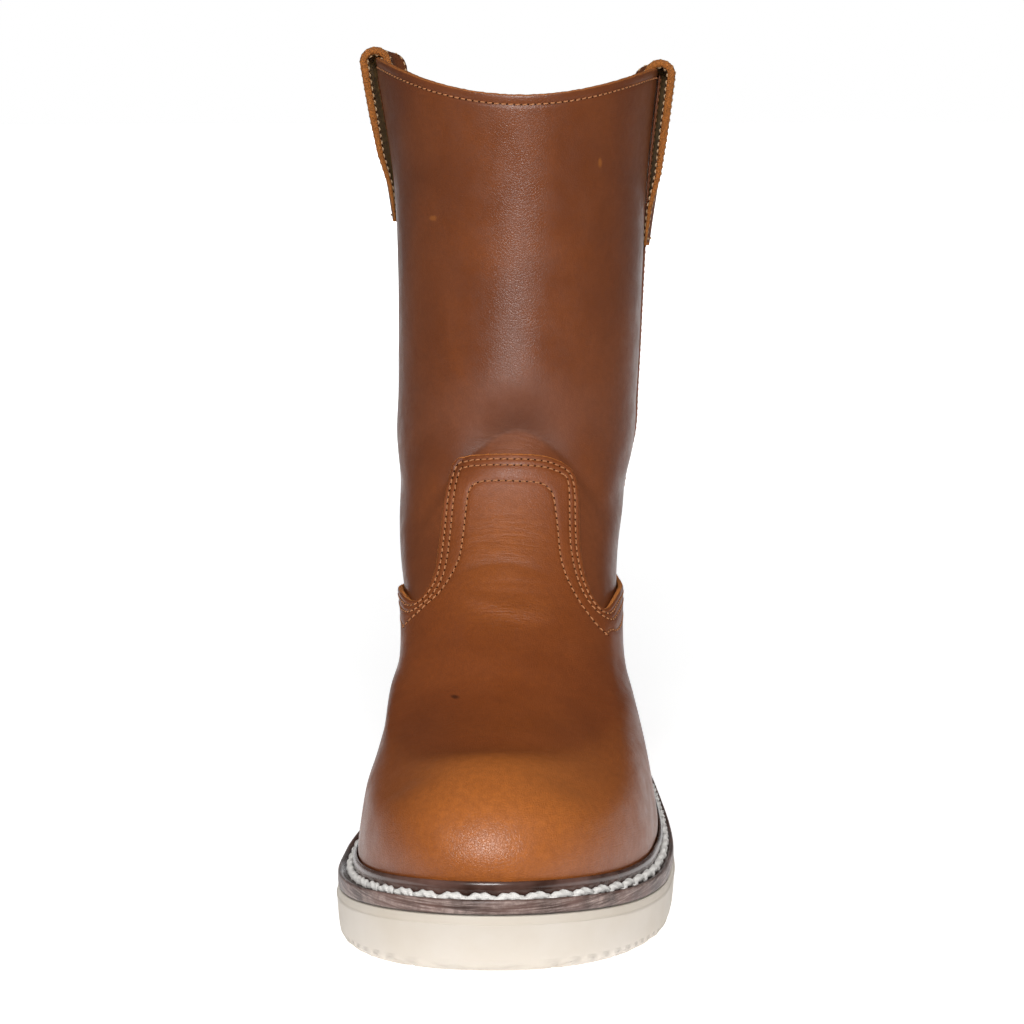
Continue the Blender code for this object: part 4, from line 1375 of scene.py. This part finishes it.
def colour_property(name, description, default):
    """Colour that a user would change."""
    return FloatVectorProperty(name=name, description=description, default=default, subtype="COLOR")


def power_property(name, description, default):
    """Power of a light that a user would change, in watts."""
    return FloatProperty(name=name, description=description, default=default, unit="POWER")


class BootLooks(bpy.types.PropertyGroup):
    """Sizes and colours of the boot's looks."""

    stitch_pitch: length_property("Stitch pitch", "Step of the fine stitches", 0.0025)
    stitch_length: length_property("Stitch length", "Length of one fine stitch", 0.0020)
    thread_radius: length_property("Thread radius", "Half thickness of the fine thread", 0.00030)
    welt_pitch: length_property("Welt stitch pitch", "Step of the heavy welt stitches", 0.0085)
    welt_cord_radius: length_property("Welt cord radius", "Half thickness of the welt cord", 0.00115)
    columns: IntProperty(
        name="Columns", description="Mesh columns round the upper and vamp", default=320, min=48)
    shaft_dark: colour_property("Shaft dark", "Darker leather of the shaft", (0.142, 0.0365, 0.0098))
    shaft_base: colour_property("Shaft", "Leather of the shaft", (0.195, 0.0525, 0.0140))
    shaft_light: colour_property("Shaft light", "Stretched leather of the shaft", (0.33, 0.106, 0.034))
    vamp_dark: colour_property("Vamp dark", "Darker leather of the vamp", (0.165, 0.039, 0.0082))
    vamp_base: colour_property("Vamp", "Leather of the vamp", (0.222, 0.0555, 0.0120))
    vamp_light: colour_property("Vamp light", "Leather stretched over the toe", (0.435, 0.130, 0.0245))
    raw_edge: colour_property("Raw edge", "Cut edge of the leather", (0.42, 0.138, 0.024))
    strap_face: colour_property("Strap inside", "Flesh side of the pull straps", (0.27, 0.155, 0.045))
    lining: colour_property("Lining", "Lining of the shaft", (0.25, 0.145, 0.070))
    insole: colour_property("Insole", "Insole leather", (0.33, 0.19, 0.095))
    fine_thread: colour_property("Fine thread", "Thread of the fine rows", (0.36, 0.148, 0.060))
    strap_thread: colour_property("Strap thread", "Thread of the pull straps", (0.46, 0.30, 0.165))
    welt_dark: colour_property("Welt dark", "Polished welt", (0.035, 0.014, 0.009))
    welt_brown: colour_property("Welt brown", "Lighter places of the welt", (0.128, 0.066, 0.052))
    welt_grey: colour_property("Welt scuff", "Scuffed cut edge of the welt", (0.40, 0.30, 0.265))
    welt_cord: colour_property("Welt cord", "Heavy welt thread", (0.63, 0.61, 0.58))
    cream: colour_property("Cream", "Wedge sole", (0.606, 0.552, 0.490))
    cream_warm: colour_property("Warm cream", "Deeper places of the sole", (0.535, 0.465, 0.378))


class BootStage(bpy.types.PropertyGroup):
    """Camera and lights."""

    camera_place: FloatVectorProperty(
        name="Camera", description="Place of the camera", subtype="XYZ", unit="LENGTH",
        default=(0.0449, -0.81905, 0.236))
    camera_pitch: FloatProperty(
        name="Pitch", description="Camera's tilt from looking straight down", subtype="ANGLE",
        default=math.radians(82.35))
    camera_yaw: FloatProperty(
        name="Yaw", description="Camera's turn about the vertical", subtype="ANGLE",
        default=math.radians(3.0))
    lens: FloatProperty(name="Lens", description="Focal length in millimetres", default=82.617)
    key_power: power_property("Key light", "Power of the key light", 19.5)
    front_power: power_property("Front light", "Power of the wide front light", 17.0)
    fill_power: power_property("Fill light", "Power of the light over the floor behind the boot", 18.0)
    side_power: power_property("Side lights", "Power of each low light at the sides", 0.15)
    sky: FloatProperty(name="Sky", description="Strength of the even white light", default=0.06)


class BootOperator:
    """What the boot's operators share."""

    bl_options = {"REGISTER"}

    def execute(self, context):
        self.build(context.scene.boot_looks)
        return {"FINISHED"}


class BOOT_OT_outsole(BootOperator, bpy.types.Operator):
    """Cream wedge sole with its step, toe spring and bowed tread grooves"""

    bl_idname = "boot.outsole"
    bl_label = "Outsole"

    def build(self, looks):
        turns = np.linspace(0.0, 2.0 * math.pi, 360, endpoint=False)
        rings, tread, band = [], [], []
        for row in rows_of(SIDE, SIDE_COLUMNS):
            x, y = inset_edge(turns, row["inset"])
            share = sole_share(y)
            if row["from_top"] is None:
                z = wedge_bottom(share) + row["from_bottom"]
                wave = 0.5 + 0.35 * np.sin(61.0 * turns) + 0.15 * np.sin(143.0 * turns + 1.0)
                z = z + SCALLOP_HEIGHT * row["scallop"] * wave
            else:
                z = wedge_top(share) - row["from_top"]
            rings.append(np.stack([x, y, z], axis=-1))
            tread.append(np.full(len(turns), float(row["from_top"] is None and row["from_bottom"] < 2.5)))
            band.append(np.full(len(turns), row["band"]))
        count = len(turns)
        faces = stack_faces(len(rings), count)
        grime = (0.10, 0.075, 0.055)
        cream = shared("cream_rubber_finish", rubber, looks.cream[:], looks.cream_warm[:], grime)
        sole = make_piece("wedge_sole", np.stack(rings), faces, [cream],
                          {"tread": np.stack(tread), "band": np.stack(band)})
        self.cut_tread(sole)
        put_on(sole, "cream_rubber", "outsole")

    def cut_tread(self, sole):
        """Bowed grooves across the tread, cut by bars."""
        reach = TREAD_REACH * BALL_WIDTH
        pitch = SOLE_LENGTH / (TREAD_GROOVES - 1.0 + 2.0 * TREAD_FIRST)
        across = np.linspace(-reach, reach, 33)
        points, faces = [], []
        for i in range(TREAD_GROOVES):
            y = 0.5 * SOLE_LENGTH - (i + TREAD_FIRST) * pitch - TREAD_BOW * (1.0 - (across / reach) ** 2)
            top = wedge_bottom(sole_share(y)) + TREAD_DEPTH
            below = np.full_like(top, -2.0 * TREAD_DEPTH)
            half = 0.5 * TREAD_WIDTH
            corners = ((-half, below), (half, below), (0.7 * half, top), (-0.7 * half, top))
            bar = np.stack([np.stack([across, y + shift, z], axis=-1) for shift, z in corners], axis=1)
            start, rows = len(points), len(across)
            points.extend(bar.reshape(-1, 3))
            faces += [tuple(start + k for k in face) for face in ring_faces(rows, 4, False)]
            faces.append(tuple(start + k for k in range(4)))
            faces.append(tuple(start + (rows - 1) * 4 + k for k in range(4)))
        cutter = make_piece("tread_cutter", np.array(points), faces, [])
        cut = sole.modifiers.new("tread", "BOOLEAN")
        cut.operation = "DIFFERENCE"
        cut.solver = "EXACT"
        cut.object = cutter
        mesh = applied(sole, cut)
        bpy.data.objects.remove(cutter)
        mesh.set_sharp_from_angle(angle=math.radians(42.0))


class BOOT_OT_welt(BootOperator, bpy.types.Operator):
    """Welt strip with its polished lip, stitch channel and scuffed edge"""

    bl_idname = "boot.welt"
    bl_label = "Welt"

    def build(self, looks):
        turns = np.linspace(0.0, 2.0 * math.pi, 480, endpoint=False)
        nx, ny = sole_normal(turns)
        rings = []
        for row in rows_of(WELT, WELT_COLUMNS):
            if row["sole_inset"] is None:
                ring = vamp_outside(turns, row["up"])
                ring[:, 0] += row["vamp_out"] * nx
                ring[:, 1] += row["vamp_out"] * ny
            else:
                ring = np.stack([*inset_edge(turns, row["sole_inset"]), np.zeros_like(turns)], axis=-1)
            ring[:, 2] = wedge_top(sole_share(ring[:, 1])) + row["up"]
            rings.append(ring)
        count = len(turns)
        marks = {name: np.repeat(column(WELT, WELT_COLUMNS, name), count) for name in ("scuff", "shade")}
        finish = shared("welt_leather_finish", welt_finish, looks.welt_dark[:], looks.welt_brown[:],
                        looks.welt_grey[:])
        welt = make_piece("welt_strip", np.stack(rings), ring_faces(len(rings), count, True), [finish], marks)
        put_on(welt, "welt_leather", "welt")


class BOOT_OT_insole(BootOperator, bpy.types.Operator):
    """Leather insole with a soft rim"""

    bl_idname = "boot.insole"
    bl_label = "Insole"

    def build(self, looks):
        turns = np.linspace(0.0, 2.0 * math.pi, 240, endpoint=False)
        base = WELT_MARGIN + VAMP_WALL + GAP + UPPER_WALL + INSOLE_CLEARANCE
        rings = []
        for inset, up in INSOLE_RIM:
            x, y = inset_edge(turns, base + inset)
            rings.append(np.stack([x, y, wedge_top(sole_share(y)) + GAP + up], axis=-1))
        count = len(turns)
        faces = stack_faces(len(rings), count)
        finish = shared("insole_finish", lining_finish, looks.insole[:], lighter(looks.insole, 1.3))
        insole = make_piece("insole_board", np.stack(rings), faces, [finish])
        put_on(insole, "insole_leather", "insole")


class BOOT_OT_upper(BootOperator, bpy.types.Operator):
    """Hollow shaft and foot with folds, a rolled collar edge and its lining"""

    bl_idname = "boot.upper"
    bl_label = "Upper"

    def build(self, looks):
        turns = np.linspace(-math.pi, math.pi, looks.columns, endpoint=False)
        levels = np.concatenate([
            np.linspace(low, high, rows, endpoint=high == TOP_LEVEL) for low, high, rows in UPPER_ROWS])
        level, turn = np.meshgrid(levels, turns, indexing="ij")
        seam_points, _ = on_shaft(*collar_row())
        outside = upper_offset(turn, level, folds(turn, level))
        high = level > COLLAR_PULL_LEVEL
        pull = np.zeros_like(level)
        pull[high] = groove(outside[high], [dense(seam_points, 0.5, True)], *COLLAR_PULL)
        outside = outside + pull[..., None] * upper_normal(turn, level)
        top = np.full_like(turns, TOP_LEVEL)
        up = unit(upper_slopes(turns, top)[1])
        rim_folds = folds(turns, top)
        rim = []
        wobble = speck(len(turns), 3, RAGGED)
        for out, rise in COLLAR_RIM:
            ring = upper_offset(turns, top, rim_folds + out)
            rim.append(ring + (rise + wobble)[:, None] * up)
        inner_levels = np.concatenate([np.linspace(*stretch) for stretch in LINING_ROWS])
        in_level, in_turn = np.meshgrid(inner_levels, turns, indexing="ij")
        inside = upper_offset(in_turn, in_level, folds(in_turn, in_level) - UPPER_WALL)
        rings = np.concatenate([outside, np.stack(rim), inside])
        blank = np.zeros((len(rim) + len(inside), len(turns)))
        tone = np.concatenate([tone_of(turn, level), blank + 0.2])
        wrinkle = np.concatenate([wrinkle_of(turn, level), blank])
        raw = np.concatenate([np.zeros_like(level), blank])
        raw[len(outside):len(outside) + len(rim)] = 0.48
        faces = ring_faces(len(rings), len(turns), True)
        slots = np.zeros(len(faces), int)
        slots[(len(outside) + len(rim)) * len(turns):] = 1
        skin = shaft_skin(looks)
        lining = shared("lining_finish", lining_finish, looks.lining[:], lighter(looks.lining, 1.25))
        # The shade mark carries painted shade for the hollows of the folds
        marks = {"tone": tone, "wrinkle": wrinkle, "raw": raw,
                 "dull": np.concatenate([dull_of(turn, level), blank]),
                 "shade": np.concatenate([shade_of(turn, level), blank])}
        upper = make_piece("shaft_and_foot", rings, faces, [skin, lining], marks, slots)
        put_on(upper, "shaft_leather", "upper")


class BOOT_OT_vamp(BootOperator, bpy.types.Operator):
    """Vamp and counter overlay with its tongue, raw edge, creases and stitch channels"""

    bl_idname = "boot.vamp"
    bl_label = "Vamp"

    def build(self, looks):
        tongue = tongue_grid(TONGUE_STEPS, TONGUE_ROWS)
        back = edge_stretch(TONGUE_FOOT[1], 360.0 + TONGUE_FOOT[0], BACK_STEPS)
        ring = np.concatenate([tongue[0], back[1:-1]])
        columns = len(ring)
        rise = (1.0 - np.linspace(1.0, 0.0, VAMP_ROWS + 1) ** 1.5)[:, None]
        level = VAMP_FOOT_LEVEL + (ring[:, 1] - VAMP_FOOT_LEVEL) * rise
        turn = np.concatenate([np.tile(ring[:, 0], VAMP_ROWS + 1), tongue[1:, :, 0].ravel()])
        level = np.concatenate([level.ravel(), tongue[1:, :, 1].ravel()])
        count, top = len(turn), VAMP_ROWS * columns
        cells = np.arange(count - top - columns).reshape(TONGUE_ROWS, -1) + top + columns
        cells = np.vstack([top + np.arange(TONGUE_STEPS + 1), cells]).tolist()
        edge = list(range(top + TONGUE_STEPS, top + columns)) + [row[0] for row in cells]
        edge += cells[-1][1:] + [row[-1] for row in cells[-2:0:-1]]
        faces = ring_faces(VAMP_ROWS + 1, columns, False)
        for low, high in zip(cells, cells[1:]):
            faces += [(low[j], low[j + 1], high[j + 1], high[j]) for j in range(TONGUE_STEPS)]
        faces += [tuple(k + count for k in reversed(face)) for face in faces]
        lift = folds(turn, level)
        normal = upper_normal(turn, level)
        plain = upper_point(turn, level)
        outside = plain + (VAMP_GAP + VAMP_WALL + lift)[:, None] * normal
        inside = plain + (VAMP_GAP + lift)[:, None] * normal
        outside += self.pulled_in(outside, level, edge)[:, None] * normal
        rims, links = self.rim(outside, inside, edge, 2 * count)
        faces += links
        foot = list(range(columns))
        faces += [(a, b, b + count, a + count) for a, b in zip(foot, foot[1:] + foot[:1])]
        blank = np.zeros(count + len(rims))
        cut = np.zeros(2 * count + len(rims))
        cut[edge] = 0.7
        cut[count:] = 1.0
        # The shade mark carries painted shade for the hollows of the folds
        marks = {"tone": np.concatenate([tone_of(turn, level), blank + 0.3]), "raw": cut,
                 "wrinkle": np.concatenate([wrinkle_of(turn, level), blank]),
                 "dull": np.concatenate([dull_of(turn, level), blank]),
                 "shade": np.concatenate([shade_of(turn, level), blank])}
        skin = shared("vamp_leather_finish", leather, looks.vamp_dark[:], looks.vamp_base[:],
                      looks.vamp_light[:], looks.raw_edge[:], 0.37, 0.52, 0.9, worn_places("vamp"))
        vamp = make_piece("vamp_overlay", np.concatenate([outside, inside, rims]), faces, [skin], marks)
        put_on(vamp, "vamp_leather", "vamp")

    def pulled_in(self, outside, level, edge):
        """How far the stitch rows and the cut edge sink the vamp's surface."""
        lines = [dense(on_vamp(*line)[0], 0.5, False) for line in (*twin_rows(), *third_row())]
        near = level > VAMP_PULL_LEVEL
        sunk = np.zeros(len(outside))
        sunk[near] = groove(outside[near], lines, *VAMP_PULL)
        sunk[near] += groove(outside[near], [dense(outside[edge], 0.3, True)], *EDGE_PULL)
        return sunk

    def rim(self, outside, inside, edge, start):
        """Rounded, slightly ragged cut edge between the vamp's two faces."""
        count = len(outside)
        face, back = outside[edge], inside[edge]
        ahead = unit(np.roll(face, -1, axis=0) - np.roll(face, 1, axis=0))
        away = unit(np.cross(unit(face - back), ahead))
        rims, loops = [], [edge]
        for row, (share, reach) in enumerate(VAMP_RIM):
            ragged = reach + speck(len(edge), row, RAGGED)
            rims.append(face + share * (back - face) + ragged[:, None] * away)
            loops.append([start + row * len(edge) + k for k in range(len(edge))])
        loops.append([count + k for k in edge])
        links = []
        for low, high in zip(loops, loops[1:]):
            links += [(low[k - 1], low[k], high[k], high[k - 1]) for k in range(len(edge))]
        return np.concatenate(rims), links


def strip_loop(half, wall, faces_across, round_steps):
    """Cross-section loop of a flat strip with rounded edges: across, share of the wall, raw."""
    flat = 0.5 * wall
    reach = half - flat
    loop = [(a, 1.0, 0.0) for a in np.linspace(-reach, reach, faces_across)]
    bend = np.linspace(0.5 * math.pi, -0.5 * math.pi, round_steps + 2)[1:-1]
    loop += [(reach + flat * math.cos(b), math.sin(b), 1.0) for b in bend]
    loop += [(a, -1.0, 0.0) for a in np.linspace(reach, -reach, faces_across)]
    loop += [(-reach - flat * math.cos(b), -math.sin(b), 1.0) for b in bend]
    return np.array(loop)


def capped_tube(rows, loop):
    """Faces of a tube of loops with closed ends."""
    faces = ring_faces(rows, loop, False)
    faces.append(tuple(range(loop)))
    faces.append(tuple((rows - 1) * loop + k for k in range(loop)))
    return faces


class BOOT_OT_side_seams(BootOperator, bpy.types.Operator):
    """Raised strips over the shaft's side seams"""

    bl_idname = "boot.side_seams"
    bl_label = "Side seams"

    def build(self, looks):
        heights = np.linspace(SEAM_FOOT_Z, COLLAR_Z - SEAM_HEAD_DROP, 150)
        loop = strip_loop(0.5 * SEAM_WIDTH, SEAM_WALL, 9, 3)
        height, across = np.meshgrid(heights, loop[:, 0], indexing="ij")
        skin = shaft_skin(looks)
        for name, side in (("medial", -1), ("lateral", 1)):
            turn, level = shaft_place(side, height, across)
            distance = SEAM_GAP + 0.5 * SEAM_WALL * (1.0 + loop[:, 1]) + folds(turn, level)
            points = upper_offset(turn, level, distance)
            marks = {"raw": np.tile(0.3 * loop[:, 2], len(heights)), "tone": np.full(height.size, 0.22),
                     "wrinkle": np.zeros(height.size)}
            faces = capped_tube(len(heights), len(loop))
            strip = make_piece("seam_strip_" + name, points, faces, [skin], marks)
            put_on(strip, "seam_leather_" + name, "side_seam_" + name)


class BOOT_OT_straps(BootOperator, bpy.types.Operator):
    """Pull straps: thick leather loops with fuzzy raw edges"""

    bl_idname = "boot.straps"
    bl_label = "Pull straps"

    def build(self, looks):
        rows, flat = (90, 34, 26), 15
        loop = strip_loop(0.5 * STRAP_WIDTH, STRAP_WALL, flat, 7)
        skin = shared("strap_face_finish", leather, looks.shaft_dark[:], looks.shaft_base[:],
                      looks.shaft_light[:], looks.raw_edge[:], 0.5, 0.4)
        flesh = shared("strap_flesh_finish", suede, looks.strap_face[:], lighter(looks.strap_face, 1.5),
                       looks.raw_edge[:])
        for row in rows_of(STRAPS, STRAP_COLUMNS):
            name, side = row["name"], row["side"]
            middle, outward, thickness = strap_frame(side, row["foot_z"], row["top_z"], loop[:, 0], rows)
            count = len(thickness)
            half = 0.5 * thickness[:, None] * loop[None, :, 1]
            nap = speck(half.size, 11 + side, 0.13).reshape(half.shape) * loop[None, :, 2]
            points = middle + (half + nap)[..., None] * outward
            sideways = unit(middle[:, flat - 1] - middle[:, 0])[:, None]
            points += (speck(half.size, 17 + side, 0.24).reshape(half.shape)
                       * loop[None, :, 2])[..., None] * sideways
            raw = np.tile(loop[:, 2], (count, 1))
            raw[:2] = 1.0
            raw[-2:] = 1.0
            faces = capped_tube(count, len(loop))
            slots = np.zeros(len(faces), int)
            for step in range(count - 1):
                start = step * len(loop)
                slots[start + flat - 1:start + len(loop)] = 1
            slots[-2:] = 1
            marks = {"raw": raw, "tone": np.full(half.size, 0.3), "wrinkle": np.zeros(half.size)}
            strap = make_piece(name + "_loop", points, faces, [skin, flesh], marks, slots)
            put_on(strap, "strap_leather_" + name.rsplit("_", 1)[1], name)


class BOOT_OT_stitching(BootOperator, bpy.types.Operator):
    """Fine stitch rows of the vamp, collar, side seams and straps, with painted shade at their needle holes
    """

    bl_idname = "boot.stitching"
    bl_label = "Stitching"

    def build(self, looks):
        scale = 1.0 / MM
        stitch = stitch_shape("fine_stitch", scale * looks.stitch_length, scale * looks.thread_radius,
                              0.42 * scale * looks.thread_radius, 6, 6, pinch=0.55)
        heavy = stitch_shape("strap_stitch", scale * looks.stitch_length, 1.2 * scale * looks.thread_radius,
                             0.8 * scale * looks.thread_radius, 6, 6, pinch=0.55)
        hole = stitch_shape("hole_shape", 0.75, 0.27, 0.03, 4, 6, pinch=0.6,
                            ahead=0.5 * scale * looks.stitch_pitch)
        tan = shared("fine_thread_finish", thread, looks.fine_thread[:], lighter(looks.fine_thread, 1.35))
        # Needle holes are dark flat pits: painted shade between the stitches
        dark = shared("needle_hole_finish", hole_shade, (0.050, 0.016, 0.006))
        groups = {
            "vamp": ("vamp_leather", self.vamp_lines()),
            "collar": ("shaft_leather", self.collar_lines()),
            "seam_medial": ("seam_leather_medial", self.seam_lines(-1)),
            "seam_lateral": ("seam_leather_lateral", self.seam_lines(1)),
        }
        for row in rows_of(STRAPS, STRAP_COLUMNS):
            label = row["name"].rsplit("_", 1)[1]
            lines = self.strap_lines(row["side"], row["foot_z"], row["top_z"])
            groups["strap_" + label] = ("strap_leather_" + label, lines)
        pale = shared("strap_thread_finish", thread, looks.strap_thread[:], lighter(looks.strap_thread, 1.3))
        for label, (slot, lines) in groups.items():
            used = pale if label.startswith("strap") else tan
            shape = heavy if label.startswith("strap") else stitch
            rows = stitch_rows("stitches_" + label, lines, shape, looks.stitch_pitch, used, 0.10, 0.10, 5)
            put_on(rows, slot)
            # Painted shade: a dark pit shape between each pair of stitches
            pits = stitch_rows("needle_holes_" + label, lines, hole, looks.stitch_pitch, dark)
            put_on(pits, slot)
        for shape in (stitch, heavy, hole):
            bpy.data.objects.remove(shape)

    def vamp_lines(self):
        """Twin rows and third row of the vamp."""
        lines = []
        for turn, level in twin_rows():
            lines.append((*on_vamp(turn, level, VAMP_ROW_LIFT), True))
        for turn, level in third_row():
            lines.append((*on_vamp(turn, level, VAMP_ROW_LIFT), False))
        return lines

    def collar_lines(self):
        """Row under the collar's edge."""
        return [(*on_shaft(*collar_row(), COLLAR_ROW_LIFT), True)]

    def seam_lines(self, side):
        """Two rows down a side seam's strip."""
        lines = []
        for share in SEAM_ROW_SHARES:
            heights = np.linspace(SEAM_FOOT_Z + 2.0, COLLAR_Z - SEAM_HEAD_DROP - 1.5, 220)
            turn, level = shaft_place(side, heights, np.full_like(heights, share * SEAM_WIDTH))
            lines.append((*on_shaft(turn, level, SEAM_GAP + SEAM_WALL + SEAM_ROW_LIFT), False))
        return lines

    def strap_lines(self, side, foot_z, top_z):
        """Rows along both edges of a strap, on both its sides, and across its foot."""
        lines = []
        steps = (120, 40, 40)
        keep = slice(5, -5)
        for face, margin in STRAP_MARGINS.items():
            inset = 0.5 * STRAP_WIDTH - margin
            middle, outward, thickness = strap_frame(side, foot_z, top_z, np.array([-inset, inset]), steps)
            half = (0.5 * thickness * face - 0.12 * (1.0 + face))[keep, None]
            for j in range(2):
                spots = middle[keep, j] + half * outward[keep, j]
                lines.append((spots, face * outward[keep, j], False))
        reach = 0.5 * STRAP_WIDTH - STRAP_MARGINS[1.0]
        cross = np.linspace(-reach, reach, 40)
        middle, outward, thickness = strap_frame(side, foot_z, top_z, cross, steps)
        row = keep.start
        lines.append((middle[row] + 0.5 * thickness[row] * outward[row], outward[row], False))
        return lines


class BOOT_OT_welt_stitching(BootOperator, bpy.types.Operator):
    """Heavy white stitches that hold the welt to the sole"""

    bl_idname = "boot.welt_stitching"
    bl_label = "Welt stitching"

    def build(self, looks):
        scale = 1.0 / MM
        cord = stitch_shape("welt_stitch", 1.16 * scale * looks.welt_pitch, scale * looks.welt_cord_radius,
                            0.42, 17, 10, twist=4.6, lobes=0.22, pinch=0.68)
        turns = np.linspace(0.0, 2.0 * math.pi, 1440, endpoint=False)
        spots = vamp_outside(turns, WELT_STITCH_UP)
        spots[:, :2] += WELT_STITCH_OUT * np.stack(sole_normal(turns), axis=-1)
        spots[:, 2] = wedge_top(sole_share(spots[:, 1])) + WELT_STITCH_UP
        outward = np.tile((0.0, 0.0, 1.0), (len(spots), 1))
        white = shared("welt_cord_finish", thread, looks.welt_cord[:], lighter(looks.welt_cord, 1.2))
        lines = [(spots, outward, True)]
        rows = stitch_rows("welt_stitches", lines, cord, looks.welt_pitch, white, 0.04, 0.05, 9)
        put_on(rows, "welt_leather")
        bpy.data.objects.remove(cord)


class BOOT_OT_stage(bpy.types.Operator):
    """Pale floor, soft studio light and the camera"""

    bl_idname = "boot.stage"
    bl_label = "Stage"
    bl_options = {"REGISTER"}

    def execute(self, context):
        stage = context.scene.boot_stage
        self.floor()
        self.camera(context.scene, stage)
        self.lights(context.scene, stage)
        return {"FINISHED"}

    def floor(self):
        """Strip of paper that widens and sweeps up behind the boot, and a wide floor round it."""
        bend, back, high, wide = 0.2, 2.8, 0.35, 1.2
        angles = np.linspace(-0.5 * math.pi, 0.0, 24)
        profile = [(-0.175, 0.0, 0.42), (0.6, 0.0, 0.42), (1.3, 0.0, wide)]
        profile += [(back + bend * math.cos(a), bend + bend * math.sin(a), wide) for a in angles]
        profile.append((back + bend, high, wide))
        self.sheet("floor", profile, 0.65)
        around = self.sheet("floor_around", [(-6.0, -0.002, 6.0), (6.0, -0.002, 6.0)], 1.0)
        around.visible_diffuse = False
        around.visible_glossy = False

    def sheet(self, name, profile, glow):
        """Plain pale sheet along a profile of places, heights and half widths."""
        points = [(side * wide, y, z) for y, z, wide in profile for side in (-1.0, 1.0)]
        faces = [(2 * i, 2 * i + 1, 2 * i + 3, 2 * i + 2) for i in range(len(profile) - 1)]
        mesh = bpy.data.meshes.new(name)
        mesh.from_pydata(points, [], faces)
        smooth(mesh)
        mesh.materials.append(shared(name + "_finish", self.paper, glow))
        made = linked(name, mesh)
        return made

    def paper(self, name, glow):
        """Matte white paper that glows a little."""
        made = Finish(name)
        cloud = made.ramp(made.noise(3.0), 0.3, 0.7)
        made.set(Base_Color=made.mix(cloud, (0.93, 0.93, 0.93), (0.95, 0.95, 0.95)), Roughness=0.9)
        made.set(Specular_IOR_Level=0.1, Emission_Color=(1.0, 1.0, 1.0), Emission_Strength=glow)
        return made.material

    def camera(self, scene, stage):
        """Camera at the photograph's angle."""
        camera = bpy.data.cameras.new("camera")
        camera.lens = stage.lens
        camera.sensor_width = 36.0
        camera.clip_start, camera.clip_end = 0.01, 50.0
        made = bpy.data.objects.new("camera", camera)
        made.location = stage.camera_place
        made.rotation_euler = (stage.camera_pitch, 0.0, stage.camera_yaw)
        scene.collection.objects.link(made)
        scene.camera = made

    def lights(self, scene, stage):
        """Even sky, a key light that gives the gloss, a wide front light and weak ones behind and beside."""
        scene.view_settings.view_transform = "Standard"
        world = bpy.data.worlds.new("sky")
        world.use_nodes = True
        nodes, link = world.node_tree.nodes, world.node_tree.links.new
        sky = nodes["Background"]
        sky.inputs["Color"].default_value = (1.0, 1.0, 1.0, 1.0)
        sky.inputs["Strength"].default_value = stage.sky
        plain = nodes.new("ShaderNodeBackground")
        plain.inputs["Color"].default_value = (1.0, 1.0, 1.0, 1.0)
        pick = nodes.new("ShaderNodeMixShader")
        link(nodes.new("ShaderNodeLightPath").outputs["Is Camera Ray"], pick.inputs[0])
        link(sky.outputs["Background"], pick.inputs[1])
        link(plain.outputs["Background"], pick.inputs[2])
        link(pick.outputs["Shader"], nodes["World Output"].inputs["Surface"])
        scene.world = world
        self.lamp(scene, "key", stage.key_power, (0.5, 0.6), (0.05, -1.45, 0.62), (0.0, 0.0, 0.14))
        front = self.lamp(scene, "front", stage.front_power, (2.4, 1.2), (0.0, -1.3, 1.2), (0.0, 0.0, 0.14))
        fill = self.lamp(scene, "fill", stage.fill_power, (2.6, 1.2), (0.0, 1.6, 1.2), (0.0, 2.6, 0.0))
        for side in (-1.0, 1.0):
            self.lamp(scene, "side", stage.side_power, (1.0, 0.8), (1.5 * side, 0.45, 0.3), (0.0, 0.0, 0.15))
        front.visible_glossy = False
        fill.visible_glossy = False

    def lamp(self, scene, name, power, size, place, aim):
        """Rectangular soft light that points at a place."""
        light = bpy.data.lights.new(name, "AREA")
        light.shape = "RECTANGLE"
        light.size, light.size_y = size
        light.energy = power
        made = bpy.data.objects.new(name, light)
        made.location = place
        made.rotation_euler = (Vector(aim) - Vector(place)).to_track_quat("-Z", "Y").to_euler()
        scene.collection.objects.link(made)
        return made


PIECE_OPERATORS = (
    BOOT_OT_outsole,
    BOOT_OT_welt,
    BOOT_OT_insole,
    BOOT_OT_upper,
    BOOT_OT_vamp,
    BOOT_OT_side_seams,
    BOOT_OT_straps,
    BOOT_OT_stitching,
    BOOT_OT_welt_stitching,
    BOOT_OT_stage,
)


class BOOT_PT_panel(bpy.types.Panel):
    """Boot's pieces and looks"""

    bl_idname = "BOOT_PT_panel"
    bl_label = "Work boot"
    bl_space_type = "VIEW_3D"
    bl_region_type = "UI"
    bl_category = "Boot"

    def draw(self, context):
        for operator in PIECE_OPERATORS:
            self.layout.operator(operator.bl_idname)
        for group in (context.scene.boot_looks, context.scene.boot_stage):
            for name in group.__annotations__:
                self.layout.prop(group, name)


CLASSES = (BootLooks, BootStage, *PIECE_OPERATORS, BOOT_PT_panel)


def register():
    for kind in CLASSES:
        bpy.utils.register_class(kind)
    bpy.types.Scene.boot_looks = PointerProperty(type=BootLooks)
    bpy.types.Scene.boot_stage = PointerProperty(type=BootStage)


def unregister():
    del bpy.types.Scene.boot_stage
    del bpy.types.Scene.boot_looks
    for kind in reversed(CLASSES):
        bpy.utils.unregister_class(kind)


def main():
    register()
    for operator in PIECE_OPERATORS:
        group, name = operator.bl_idname.split(".")
        getattr(getattr(bpy.ops, group), name)()


if __name__ == "__main__":
    main()
